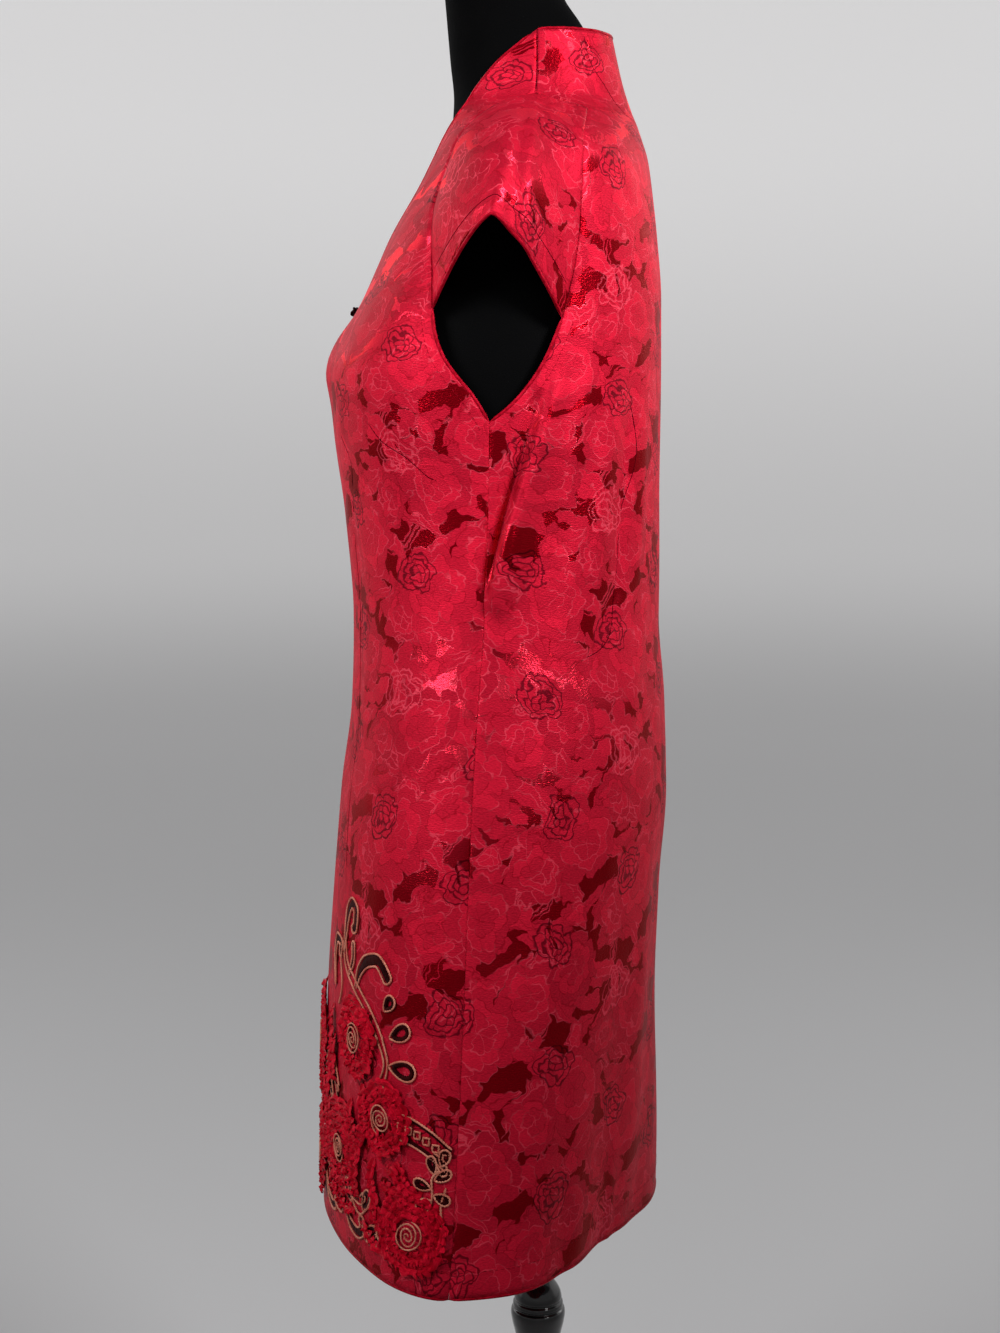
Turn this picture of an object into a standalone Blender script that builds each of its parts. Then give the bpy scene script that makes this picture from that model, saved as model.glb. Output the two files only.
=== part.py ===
import math

import bmesh
import bpy
import numpy as np
from mathutils import Vector

# Cheongsam with cap sleeves, worn on a limbless dress form with a turned stand.
# Metres, +Z up. The front of the dress faces -Y and the wearer's left side is +X.
# The origin is on the pole axis, at the underside of the round base.

# Driving dimensions
CLOTH = 0.0012
SEAM_GAP = 0.0003
HEM_Z = 0.572
UNDERARM_Z = 1.186
NOTCH_Z = 1.291
FRONT_COLUMNS = 15
BACK_COLUMNS = 12
CAP_COLUMNS = 12
TURN_STEPS = 28
POLE_RADIUS = 0.009
BASE_RADIUS = 0.160
FORM_BOTTOM_Z = 0.735
FORM_SEGMENTS = 32

# Cloth sections, one row a height: half width, front line, back line, side seam line,
# and how much fuller than an ellipse the front and the back quarters are.
SECTION_COLUMNS = ("z", "half_width", "front", "back", "side", "front_full", "back_full")
CLOTH_SECTIONS = (
    (0.560, 0.221, -0.1750, 0.0965, -0.0680, -0.050, -0.070),
    (0.620, 0.217, -0.1740, 0.0975, -0.0640, -0.030, -0.050),
    (0.720, 0.211, -0.1725, 0.0955, -0.0590, 0.000, -0.020),
    (0.820, 0.203, -0.1670, 0.0978, -0.0550, 0.020, 0.010),
    (0.900, 0.195, -0.1600, 0.1045, -0.0520, 0.030, 0.025),
    (0.970, 0.182, -0.1520, 0.1035, -0.0480, 0.030, 0.030),
    (1.040, 0.168, -0.1510, 0.0990, -0.0430, 0.030, 0.030),
    (1.120, 0.166, -0.1580, 0.0995, -0.0400, 0.030, 0.030),
    (1.190, 0.170, -0.1675, 0.1000, -0.0390, 0.040, 0.030),
    (1.225, 0.172, -0.1700, 0.1000, -0.0370, 0.045, 0.030),
    (1.255, 0.172, -0.1610, 0.1000, -0.0345, 0.045, 0.030),
    (1.290, 0.171, -0.1440, 0.1000, -0.0310, 0.040, 0.030),
    (1.340, 0.172, -0.1210, 0.0970, -0.0260, 0.035, 0.025),
    (1.385, 0.170, -0.0960, 0.0930, -0.0200, 0.025, 0.015),
    (1.405, 0.160, -0.0880, 0.0905, -0.0180, 0.010, 0.000),
    (1.420, 0.135, -0.0840, 0.0865, -0.0130, 0.000, 0.000),
    (1.435, 0.102, -0.0810, 0.0820, -0.0070, 0.000, 0.000),
    (1.450, 0.0700, -0.0790, 0.0765, -0.0030, 0.000, 0.000),
    (1.470, 0.0655, -0.0780, 0.0700, -0.0020, 0.000, 0.000),
    (1.515, 0.0640, -0.0770, 0.0605, -0.0040, 0.000, 0.000),
)

# Dress form sections, in the same columns.
FORM_SECTIONS = (
    (0.735, 0.178, -0.1520, 0.0820, -0.0560, 0.000, -0.010),
    (0.820, 0.189, -0.1560, 0.0880, -0.0550, 0.020, 0.010),
    (0.900, 0.182, -0.1500, 0.0940, -0.0520, 0.020, 0.020),
    (0.970, 0.169, -0.1425, 0.0925, -0.0480, 0.020, 0.020),
    (1.040, 0.154, -0.1400, 0.0890, -0.0430, 0.020, 0.020),
    (1.120, 0.153, -0.1470, 0.0890, -0.0400, 0.020, 0.020),
    (1.190, 0.158, -0.1570, 0.0890, -0.0390, 0.025, 0.020),
    (1.235, 0.160, -0.1570, 0.0890, -0.0360, 0.030, 0.020),
    (1.285, 0.160, -0.1365, 0.0890, -0.0320, 0.025, 0.020),
    (1.340, 0.161, -0.1090, 0.0860, -0.0260, 0.020, 0.015),
    (1.378, 0.160, -0.0870, 0.0825, -0.0200, 0.010, 0.005),
    (1.398, 0.150, -0.0790, 0.0800, -0.0180, 0.000, 0.000),
    (1.415, 0.129, -0.0745, 0.0760, -0.0130, 0.000, 0.000),
    (1.4290, 0.1010, -0.0715, 0.0705, -0.0080, 0.000, 0.000),
    (1.4430, 0.0731, -0.0702, 0.0655, -0.0040, 0.000, 0.000),
    (1.460, 0.0595, -0.0694, 0.0590, -0.0040, 0.000, 0.000),
    (1.490, 0.0515, -0.0722, 0.0520, -0.0080, 0.000, 0.000),
    (1.520, 0.0505, -0.0748, 0.0365, -0.0180, 0.000, 0.000),
    (1.543, 0.0500, -0.0768, 0.0215, -0.0270, 0.000, 0.000),
    (1.575, 0.0495, -0.0800, 0.0120, -0.0340, 0.000, 0.000),
    (1.588, 0.0440, -0.0760, 0.0070, -0.0345, 0.000, 0.000),
)

# Heights of the rows from the hem to the underarm.
SKIRT_ROWS = (
    HEM_Z, 0.588, 0.604, 0.620, 0.636, 0.652, 0.668, 0.684, 0.702, 0.722, 0.745, 0.775,
    0.810, 0.850, 0.893, 0.936, 0.980, 1.025, 1.070, 1.113, 1.152, UNDERARM_Z,
)

# Edges on the cloth, each point as (angle from centre front in degrees, height).
FRONT_ARMHOLE = ((84.5, 1.2050), (79.2, 1.2190), (73.8, 1.2355), (69.8, 1.2525))
BACK_ARMHOLE = ((96.5, 1.1990), (102.5, 1.2170), (106.2, 1.2325), (109.0, 1.2490))
FRONT_CAP_SEAM = (
    (66.8, 1.2710), (62.6, 1.2980), (57.8, 1.3255), (53.0, 1.3500), (49.8, 1.3735),
    (49.6, 1.3940), (53.5, 1.4090), (61.0, 1.4240), (71.5, 1.4400), (85.0, 1.4478),
)
BACK_CAP_SEAM = (
    (111.1, 1.2635), (113.0, 1.2860), (114.6, 1.3085), (115.6, 1.3310), (115.9, 1.3540),
    (116.1, 1.3760), (116.6, 1.3965), (117.6, 1.4105), (118.6, 1.4235), (119.5, 1.4355),
)
BACK_NECK_EDGE = ((110.0, 1.4404), (100.2, 1.4453))
SHOULDER_SEAM = ((89.8, 1.4505), (90.0, 1.4680), (90.6, 1.4860), (91.2, 1.5020))
NECK_EDGE = (
    (5.0, 1.3120), (10.0, 1.3350), (15.0, 1.3580), (21.0, 1.3810), (27.0, 1.4020),
    (32.0, 1.4175), (37.5, 1.4300), (45.0, 1.4490), (51.0, 1.4590),
    (59.0, 1.4695), (68.0, 1.4800), (77.5, 1.4890), (86.5, 1.4975),
)
FRONT_CENTRE_Z = (1.205, 1.225, 1.246, 1.268, NOTCH_Z)
BACK_CENTRE_Z = (
    1.205, 1.225, 1.246, 1.262, 1.280, 1.300, 1.320, 1.340, 1.360, 1.380, 1.398,
    1.414, 1.430, 1.444, 1.455, 1.466, 1.476, 1.486, 1.498, 1.510,
)

# Cap sleeve ridge, from the notch row up to the neck, and how sharp the fold is on it.
CAP_COLUMNS_NAMES = ("x", "y", "z", "roundness")
CAP_RIDGE = (
    (0.2080, -0.0370, 1.3330, 1.40),
    (0.2040, -0.0345, 1.3480, 1.50),
    (0.1970, -0.0320, 1.3640, 1.60),
    (0.1870, -0.0295, 1.3800, 1.70),
    (0.1740, -0.0265, 1.3955, 1.80),
    (0.1560, -0.0235, 1.4100, 1.90),
    (0.1340, -0.0200, 1.4235, 2.00),
    (0.1120, -0.0165, 1.4340, 2.00),
    (0.0920, -0.0110, 1.4420, 2.00),
    (0.0750, -0.0040, 1.4478, 2.00),
)

# Folds and darts: start and end as (angle, height), half width in metres, depth outward,
# and the side of the dress that carries it (1 left, -1 right, 0 both).
FOLD_COLUMNS = ("a0", "z0", "a1", "z1", "half_width", "depth", "side")
FOLDS = {
    "drape_ridge": (106.0, 1.190, 94.0, 1.030, 0.016, 0.0050, 0),
    "drape_valley": (99.0, 1.170, 90.5, 1.040, 0.010, -0.0030, 0),
    "bust_dart": (46.0, 1.190, 86.0, 1.128, 0.007, -0.0014, 0),
    "front_dart": (28.5, 1.130, 30.0, 0.930, 0.009, -0.0012, 0),
    "back_dart": (138.0, 1.180, 131.0, 0.960, 0.012, -0.0016, 0),
    "back_skirt_ridge": (150.5, 0.860, 150.0, 0.572, 0.022, 0.0050, 1),
    "back_skirt_dip": (138.0, 0.800, 136.0, 0.572, 0.024, -0.0035, 0),
    "side_skirt_swell": (108.0, 0.760, 108.0, 0.572, 0.026, 0.0035, 0),
    "front_skirt_dip": (72.0, 0.820, 74.0, 0.640, 0.026, -0.0025, 0),
    "far_back_flare": (158.0, 0.720, 157.0, 0.572, 0.034, 0.0190, -1),
    "far_back_rise": (150.0, 0.860, 157.0, 0.720, 0.030, 0.0050, -1),
    "shoulder_blade": (150.0, 1.340, 140.0, 1.180, 0.040, 0.0020, 0),
}

# Ribbon flowers raised on the lower front: centre angle and height, radius and rise.
FLOWER_COLUMNS = ("angle", "z", "radius", "rise")
FLOWERS = (
    (47.0, 0.7340, 0.034, 0.0052),
    (61.0, 0.6860, 0.031, 0.0050),
    (38.0, 0.6460, 0.033, 0.0056),
    (74.0, 0.6120, 0.033, 0.0050),
    (12.0, 0.7020, 0.036, 0.0058),
    (-14.0, 0.6380, 0.037, 0.0056),
    (-38.0, 0.7200, 0.034, 0.0052),
    (-49.0, 0.6420, 0.033, 0.0052),
    (-71.0, 0.6240, 0.031, 0.0048),
    (14.0, 0.6140, 0.028, 0.0046),
)

# Turned stand profiles as (radius, height), from the top down.
COLUMN_PROFILE = (
    (0.0000, 0.4920), (0.0092, 0.4920), (0.0106, 0.4900), (0.0130, 0.4860), (0.0165, 0.4812),
    (0.0188, 0.4765), (0.0196, 0.4725), (0.0190, 0.4708), (0.0204, 0.4690), (0.0208, 0.4668),
    (0.0200, 0.4652), (0.0218, 0.4635), (0.0224, 0.4600), (0.0216, 0.4540), (0.0196, 0.4460),
    (0.0172, 0.4360), (0.0150, 0.4240), (0.0136, 0.4100), (0.0132, 0.3960), (0.0146, 0.3920),
    (0.0146, 0.3860), (0.0128, 0.3820), (0.0134, 0.3400), (0.0150, 0.2400), (0.0166, 0.1500),
    (0.0176, 0.1020), (0.0200, 0.0960), (0.0206, 0.0880), (0.0196, 0.0820), (0.0214, 0.0700),
    (0.0260, 0.0560), (0.0330, 0.0450), (0.0380, 0.0403), (0.0000, 0.0403),
)
BASE_PROFILE = (
    (0.0000, 0.0400), (0.0460, 0.0400), (0.0620, 0.0385), (0.0900, 0.0330), (0.1180, 0.0270),
    (0.1340, 0.0245), (0.1400, 0.0250), (0.1460, 0.0240), (0.1540, 0.0205), (0.1585, 0.0160),
    (BASE_RADIUS, 0.0110), (0.1590, 0.0040), (0.1560, 0.0000), (0.0000, 0.0000),
)

COLOURS = {
    "satin": (0.52, 0.02, 0.06, 1.0),
    "cord": (0.03, 0.008, 0.01, 1.0),
    "jersey": (0.006, 0.006, 0.007, 1.0),
    "lacquer": (0.008, 0.007, 0.007, 1.0),
}


def clear_scene():
    for item in list(bpy.data.objects):
        bpy.data.objects.remove(item, do_unlink=True)


def smooth_curve(xs, ys):
    """Monotone cubic through the table's points."""
    xs = np.asarray(xs, dtype=float)
    ys = np.asarray(ys, dtype=float)
    step = np.diff(xs)
    slope = np.diff(ys) / step
    tangent = np.zeros(len(ys))
    for i in range(1, len(xs) - 1):
        if slope[i - 1] * slope[i] > 0:
            w1 = 2 * step[i] + step[i - 1]
            w2 = step[i] + 2 * step[i - 1]
            tangent[i] = (w1 + w2) / (w1 / slope[i - 1] + w2 / slope[i])
    tangent[0] = slope[0]
    tangent[-1] = slope[-1]

    def value(q):
        q = min(max(q, xs[0]), xs[-1])
        i = int(np.clip(np.searchsorted(xs, q, side="right") - 1, 0, len(xs) - 2))
        t = (q - xs[i]) / step[i]
        a = (1 + 2 * t) * (1 - t) ** 2 * ys[i] + t * (1 - t) ** 2 * step[i] * tangent[i]
        b = t * t * (3 - 2 * t) * ys[i + 1] + t * t * (t - 1) * step[i] * tangent[i + 1]
        return float(a + b)

    return value


def section_curves(table):
    heights = [row[0] for row in table]
    return {name: smooth_curve(heights, [row[i] for row in table])
            for i, name in enumerate(SECTION_COLUMNS)}


CLOTH_CURVES = section_curves(CLOTH_SECTIONS)
FORM_CURVES = section_curves(FORM_SECTIONS)


def section_point(curves, angle, z):
    """Point of a rounded section: angle 0 is centre front, 90 the left side, 180 centre back."""
    a = math.radians(angle)
    side = curves["side"](z)
    front_half = math.cos(a) > 0
    full = curves["front_full"](z) if front_half else curves["back_full"](z)
    depth = side - curves["front"](z) if front_half else curves["back"](z) - side
    swell = 1 + full * math.sin(2 * a) ** 2
    return Vector((curves["half_width"](z) * math.sin(a) * swell,
                   side - depth * math.cos(a) * swell, z))


def surface_normal(curves, angle, z):
    da = 0.5
    dz = 0.002
    along = section_point(curves, angle + da, z) - section_point(curves, angle - da, z)
    up = section_point(curves, angle, z + dz) - section_point(curves, angle, z - dz)
    normal = along.cross(up).normalized()
    return normal


def fold_height(angle, z):
    """Sum of the folds and darts at one place on the cloth."""
    place = section_point(CLOTH_CURVES, angle, z)
    total = 0.0
    for row in FOLDS.values():
        a0, z0, a1, z1, half_width, depth, side = row
        for sign in (1, -1):
            if side not in (0, sign):
                continue
            start = section_point(CLOTH_CURVES, a0 * sign, z0)
            end = section_point(CLOTH_CURVES, a1 * sign, z1)
            line = end - start
            t = min(max((place - start).dot(line) / line.length_squared, 0.0), 1.0)
            gap = (place - start - line * t).length
            ends = 1.0
            if z1 > HEM_Z:
                ends = 0.35 + 0.65 * math.sin(math.pi * t)
            else:
                ends = 0.25 + 0.75 * t
            total += depth * ends * math.exp(-(gap / half_width) ** 2)
    return total


def flower_height(angle, z):
    """Ribbon flowers: a raised ruffled disc with a dipped heart."""
    place = section_point(CLOTH_CURVES, angle, z)
    rise_here = 0.0
    for centre_angle, centre_z, radius, rise in FLOWERS:
        centre = section_point(CLOTH_CURVES, centre_angle, centre_z)
        r = (place - centre).length / radius
        if r < 1.0:
            shape = (1 - r ** 4) * (1 - 0.25 * math.exp(-(r / 0.3) ** 2))
            rise_here = max(rise_here, rise * shape)
    return rise_here


def cloth_place(angle, z):
    """Outer point before any relief, with its outward normal."""
    normal = surface_normal(CLOTH_CURVES, angle, z)
    return section_point(CLOTH_CURVES, angle, z) + normal * fold_height(angle, z), normal


def material(name):
    made = bpy.data.materials.new(name)
    made.use_nodes = True
    shader = made.node_tree.nodes["Principled BSDF"]
    kind = name.split(".")[1]
    shader.inputs["Base Color"].default_value = COLOURS[kind]
    shader.inputs["Roughness"].default_value = 0.15 if kind == "lacquer" else 0.55
    return made


def new_object(name, kind, mesh):
    holder = bpy.data.collections.new(name)
    bpy.context.scene.collection.children.link(holder)
    made = bpy.data.objects.new(name, mesh)
    holder.objects.link(made)
    made.data.materials.append(material(name + "." + kind))
    return made


def closed_wall(name, kind, outer, inner, quads):
    """A thin closed wall: outer skin, inner skin and the rims that join them."""
    shell = bmesh.new()
    out_verts = {key: shell.verts.new(point) for key, point in outer.items()}
    in_verts = {key: shell.verts.new(point) for key, point in inner.items()}
    edge_count = {}
    for quad in quads:
        shell.faces.new([out_verts[key] for key in quad])
        shell.faces.new([in_verts[key] for key in reversed(quad)])
        for i in range(4):
            edge = (quad[i], quad[(i + 1) % 4])
            back = (edge[1], edge[0])
            if back in edge_count:
                edge_count.pop(back)
            else:
                edge_count[edge] = True
    for a, b in edge_count:
        shell.faces.new((out_verts[b], out_verts[a], in_verts[a], in_verts[b]))
    bmesh.ops.recalc_face_normals(shell, faces=shell.faces)
    mesh = bpy.data.meshes.new(name)
    shell.to_mesh(mesh)
    shell.free()
    return new_object(name, kind, mesh)


def inset_edge(rows, column, toward, half_gap):
    """Draw one side edge of a grid back from its seam, square to the seam."""
    count = len(rows)
    moves = []
    for i in range(count):
        low = rows[max(i - 1, 0)][column][0]
        high = rows[min(i + 1, count - 1)][column][0]
        seam = (high - low).normalized()
        here = rows[i][column][0]
        inward = rows[i][toward][0] - here
        square = inward - seam * inward.dot(seam)
        scale = half_gap / max(square.length, 1e-6)
        moves.append(inward * min(scale, 0.4))
    for i in range(count):
        point, normal = rows[i][column]
        rows[i][column] = (point + moves[i], normal)


def row_places(start, end, columns):
    places = []
    for j in range(columns + 1):
        t = j / columns
        angle = start[0] + (end[0] - start[0]) * t
        z = start[1] + (end[1] - start[1]) * t
        places.append((angle, z))
    return places


def front_rows(sign):
    """Rows of one half of the front, centre to side, on the side given by sign."""
    ends = [((0.0, z), (90.0, z)) for z in SKIRT_ROWS]
    outer = list(FRONT_ARMHOLE) + list(FRONT_CAP_SEAM) + list(SHOULDER_SEAM)
    inner = [(0.0, z) for z in FRONT_CENTRE_Z] + list(NECK_EDGE)
    ends += list(zip(inner, outer))
    rows = []
    for start, end in ends:
        rows.append([(cloth_place(a * sign, z), (a * sign, z))
                     for a, z in row_places(start, end, FRONT_COLUMNS)])
    return rows


def front_panel():
    """One piece from side seam to side seam, cut in a V from the notch to the collar rim."""
    outer = {}
    inner = {}
    quads = []
    notch_row = len(SKIRT_ROWS) + len(FRONT_CENTRE_Z) - 1
    for sign in (1, -1):
        places = front_rows(sign)
        rows = [[item[0] for item in row] for row in places]
        inset_edge(rows, FRONT_COLUMNS, FRONT_COLUMNS - 1, SEAM_GAP / 2 + 0.00003)

        def key(i, j):
            if j == 0 and i > notch_row:
                return (i, 0, sign)
            return (i, j * sign, 0)

        for i, row in enumerate(rows):
            for j, (point, normal) in enumerate(row):
                angle, z = places[i][j][1]
                lift = flower_height(angle, z) if z < 0.80 else 0.0
                if j == FRONT_COLUMNS or i == 0:
                    lift = 0.0
                outer[key(i, j)] = point + normal * lift
                inner[key(i, j)] = point - normal * CLOTH
        for i in range(len(rows) - 1):
            for j in range(FRONT_COLUMNS):
                quad = (key(i, j), key(i, j + 1), key(i + 1, j + 1), key(i + 1, j))
                quads.append(quad if sign == 1 else tuple(reversed(quad)))
    return closed_wall("front_panel", "satin", outer, inner, quads)


def back_panel(name, sign):
    """Half of the back, centre seam to side seam, with the grown-on half of the collar."""
    ends = [((180.0, z), (90.0, z)) for z in SKIRT_ROWS]
    side = list(BACK_ARMHOLE) + list(BACK_CAP_SEAM) + list(BACK_NECK_EDGE) + list(SHOULDER_SEAM)
    ends += [((180.0, z), place) for z, place in zip(BACK_CENTRE_Z, side)]
    rows = []
    for start, end in ends:
        rows.append([cloth_place(a * sign, z) for a, z in row_places(start, end, BACK_COLUMNS)])
    inset_edge(rows, BACK_COLUMNS, BACK_COLUMNS - 1, SEAM_GAP / 2 + 0.00003)
    for row in rows:
        point, normal = row[0]
        row[0] = (Vector((sign * (SEAM_GAP / 2 + 0.00003), point.y, point.z)), normal)
    outer = {}
    inner = {}
    quads = []
    for i, row in enumerate(rows):
        for j, (point, normal) in enumerate(row):
            outer[(i, j)] = point
            under = point - normal * CLOTH
            if j == 0:
                under.x = point.x
            inner[(i, j)] = under
    for i in range(len(rows) - 1):
        for j in range(BACK_COLUMNS):
            quad = ((i, j), (i + 1, j), (i + 1, j + 1), (i, j + 1))
            quads.append(quad if sign == 1 else tuple(reversed(quad)))
    return closed_wall(name, "satin", outer, inner, quads)


def cap_sleeve(name, sign):
    """Cap sleeve: an arch from the front seam over the ridge to the back seam."""
    count = len(CAP_RIDGE)
    grid = []
    seam_normals = []
    for i in range(count):
        x, y, z, roundness = CAP_RIDGE[i]
        ridge = Vector((x * sign, y, z))
        front, front_normal = cloth_place(FRONT_CAP_SEAM[i][0] * sign, FRONT_CAP_SEAM[i][1])
        back, back_normal = cloth_place(BACK_CAP_SEAM[i][0] * sign, BACK_CAP_SEAM[i][1])
        split = (ridge.y - front.y) / (back.y - front.y)
        seam_normals.append((front_normal, back_normal))
        row = []
        for j in range(CAP_COLUMNS + 1):
            t = j / CAP_COLUMNS
            if i == count - 1:
                angle = FRONT_CAP_SEAM[i][0] + 1.0
                angle += (BACK_CAP_SEAM[i][0] - angle) * t
                edge_z = 1.4505 + (1.4355 - 1.4505) * max(angle - 89.8, 0.0) / (119.5 - 89.8)
                low_z = min(FRONT_CAP_SEAM[i][1], edge_z) - 0.0022
                row.append(section_point(CLOTH_CURVES, angle * sign, low_z))
                continue
            reach = t / split if t < split else (1 - t) / (1 - split)
            lift = 1 - (1 - min(reach, 1.0)) ** roundness
            base = front.lerp(back, t)
            top = ridge - front.lerp(back, split)
            row.append(base + top * lift)
        grid.append(row)
    rows = []
    for i in range(count):
        row = []
        for j in range(CAP_COLUMNS + 1):
            low = grid[max(i - 1, 0)][j]
            high = grid[min(i + 1, count - 1)][j]
            left = grid[i][max(j - 1, 0)]
            right = grid[i][min(j + 1, CAP_COLUMNS)]
            normal = (right - left).cross(high - low).normalized() * sign
            if j == 0:
                normal = seam_normals[i][0]
            if j == CAP_COLUMNS:
                normal = seam_normals[i][1]
            row.append((grid[i][j], normal))
        rows.append(row)
    inset_edge(rows, 0, 1, SEAM_GAP / 2 + 0.00005)
    inset_edge(rows, CAP_COLUMNS, CAP_COLUMNS - 1, SEAM_GAP / 2 + 0.00005)
    outer = {}
    inner = {}
    quads = []
    for i, row in enumerate(rows):
        for j, (point, normal) in enumerate(row):
            outer[(i, j)] = point
            inner[(i, j)] = point - normal * CLOTH
    for i in range(count - 1):
        for j in range(CAP_COLUMNS):
            quad = ((i, j), (i, j + 1), (i + 1, j + 1), (i + 1, j))
            quads.append(quad if sign == 1 else tuple(reversed(quad)))
    return closed_wall(name, "satin", outer, inner, quads)


def loft(name, kind, rings):
    """Closed body through rings listed from the bottom up, with flat ends."""
    body = bmesh.new()
    made = [[body.verts.new(point) for point in ring] for ring in rings]
    count = len(rings[0])
    for low, high in zip(made, made[1:]):
        for k in range(count):
            n = (k + 1) % count
            body.faces.new((low[k], low[n], high[n], high[k]))
    body.faces.new(list(reversed(made[0])))
    body.faces.new(made[-1])
    bmesh.ops.recalc_face_normals(body, faces=body.faces)
    mesh = bpy.data.meshes.new(name)
    body.to_mesh(mesh)
    body.free()
    return new_object(name, kind, mesh)


def dress_form():
    heights = [row[0] for row in FORM_SECTIONS]
    levels = []
    for low, high in zip(heights, heights[1:]):
        levels.append(low)
        if high - low > 0.05:
            levels.append((low + high) / 2)
    levels.append(heights[-1])
    rings = []
    for z in levels:
        rings.append([section_point(FORM_CURVES, 360.0 * k / FORM_SEGMENTS, z)
                      for k in range(FORM_SEGMENTS)])
    top = rings[-1]
    middle = sum(top, Vector()) / len(top)
    rings.append([middle + (p - middle) * 0.72 + Vector((0, 0, 0.0055)) for p in top])
    return loft("form_torso", "jersey", rings)


def turned(name, kind, profile):
    """Turn a profile about the pole axis."""
    mesh = bpy.data.meshes.new(name)
    points = [(radius, 0.0, z) for radius, z in profile]
    mesh.from_pydata(points, [(i, i + 1) for i in range(len(points) - 1)], [])
    made = new_object(name, kind, mesh)
    turn = made.modifiers.new("turn", "SCREW")
    turn.axis = "Z"
    turn.angle = 2 * math.pi
    turn.steps = TURN_STEPS
    turn.render_steps = TURN_STEPS
    turn.use_merge_vertices = True
    turn.merge_threshold = 0.00005
    return made


def rod(name, kind, radius, low, high):
    """A plain round bar on the pole axis."""
    shape = bmesh.new()
    bmesh.ops.create_cone(shape, cap_ends=True, cap_tris=False, segments=24,
                          radius1=radius, radius2=radius, depth=high - low)
    for vert in shape.verts:
        vert.co.z += (low + high) / 2
    mesh = bpy.data.meshes.new(name)
    shape.to_mesh(mesh)
    shape.free()
    return new_object(name, kind, mesh)


def ball(name, kind, centre, size):
    """A slightly squashed ball."""
    shape = bmesh.new()
    bmesh.ops.create_uvsphere(shape, u_segments=16, v_segments=10, radius=0.5)
    for vert in shape.verts:
        vert.co = Vector((vert.co.x * size[0], vert.co.y * size[1], vert.co.z * size[2])) + centre
    mesh = bpy.data.meshes.new(name)
    shape.to_mesh(mesh)
    shape.free()
    return new_object(name, kind, mesh)


def ring(name, kind, centre, major, minor, lean):
    """A round cord bent in a ring that lies on the cloth."""
    rounds = 20
    sides = 8
    shape = bmesh.new()
    grid = []
    for i in range(rounds):
        a = 2 * math.pi * i / rounds
        circle = []
        for k in range(sides):
            b = 2 * math.pi * k / sides
            r = major + minor * math.cos(b)
            flat = Vector((r * math.cos(a), -minor * math.sin(b), r * math.sin(a)))
            flat.y += flat.z * lean
            circle.append(shape.verts.new(flat + centre))
        grid.append(circle)
    for i in range(rounds):
        nxt = grid[(i + 1) % rounds]
        for k in range(sides):
            n = (k + 1) % sides
            shape.faces.new((grid[i][k], nxt[k], nxt[n], grid[i][n]))
    bmesh.ops.recalc_face_normals(shape, faces=shape.faces)
    mesh = bpy.data.meshes.new(name)
    shape.to_mesh(mesh)
    shape.free()
    return new_object(name, kind, mesh)


clear_scene()

# Dress
front_panel()
back_panel("back_panel_left", 1)
back_panel("back_panel_right", -1)
cap_sleeve("cap_sleeve_left", 1)
cap_sleeve("cap_sleeve_right", -1)

# Knot button and its cord loop, at the foot of the neck opening
BUTTON_Z = NOTCH_Z - 0.0075
chest, chest_normal = cloth_place(0.0, BUTTON_Z)
LOOP_LEAN = -chest_normal.z / chest_normal.y
ring("button_loop", "cord", chest + chest_normal * 0.0016, 0.0058, 0.0010, LOOP_LEAN)
ball("knot_button", "cord", chest + chest_normal * 0.0046, Vector((0.0078, 0.0078, 0.0074)))

# Dress form and stand
dress_form()
turned("turned_column", "lacquer", COLUMN_PROFILE)
turned("round_base", "lacquer", BASE_PROFILE)
rod("form_pole", "lacquer", POLE_RADIUS, 0.4920 + SEAM_GAP, FORM_BOTTOM_Z - SEAM_GAP)
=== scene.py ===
import math

import bpy
import numpy as np
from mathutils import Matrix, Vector


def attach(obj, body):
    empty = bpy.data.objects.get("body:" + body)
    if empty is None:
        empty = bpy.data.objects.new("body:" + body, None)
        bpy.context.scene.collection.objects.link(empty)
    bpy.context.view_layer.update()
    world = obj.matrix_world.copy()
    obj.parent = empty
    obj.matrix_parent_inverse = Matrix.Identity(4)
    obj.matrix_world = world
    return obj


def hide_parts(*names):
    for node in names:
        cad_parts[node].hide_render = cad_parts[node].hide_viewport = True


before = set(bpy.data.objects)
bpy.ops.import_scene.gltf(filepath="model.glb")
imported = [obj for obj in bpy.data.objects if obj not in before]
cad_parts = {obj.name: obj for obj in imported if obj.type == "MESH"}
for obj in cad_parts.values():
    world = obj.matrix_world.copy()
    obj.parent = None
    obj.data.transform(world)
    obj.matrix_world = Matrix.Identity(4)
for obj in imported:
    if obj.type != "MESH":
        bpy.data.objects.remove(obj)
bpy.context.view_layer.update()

# Metres, +Z up. The front of the dress faces -Y and the wearer's left side is +X.

CLOTH = 0.0012
GAP = 0.00003
HEM_Z = 0.572
UNDERARM_Z = 1.186
NOTCH_Z = 1.291

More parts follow.
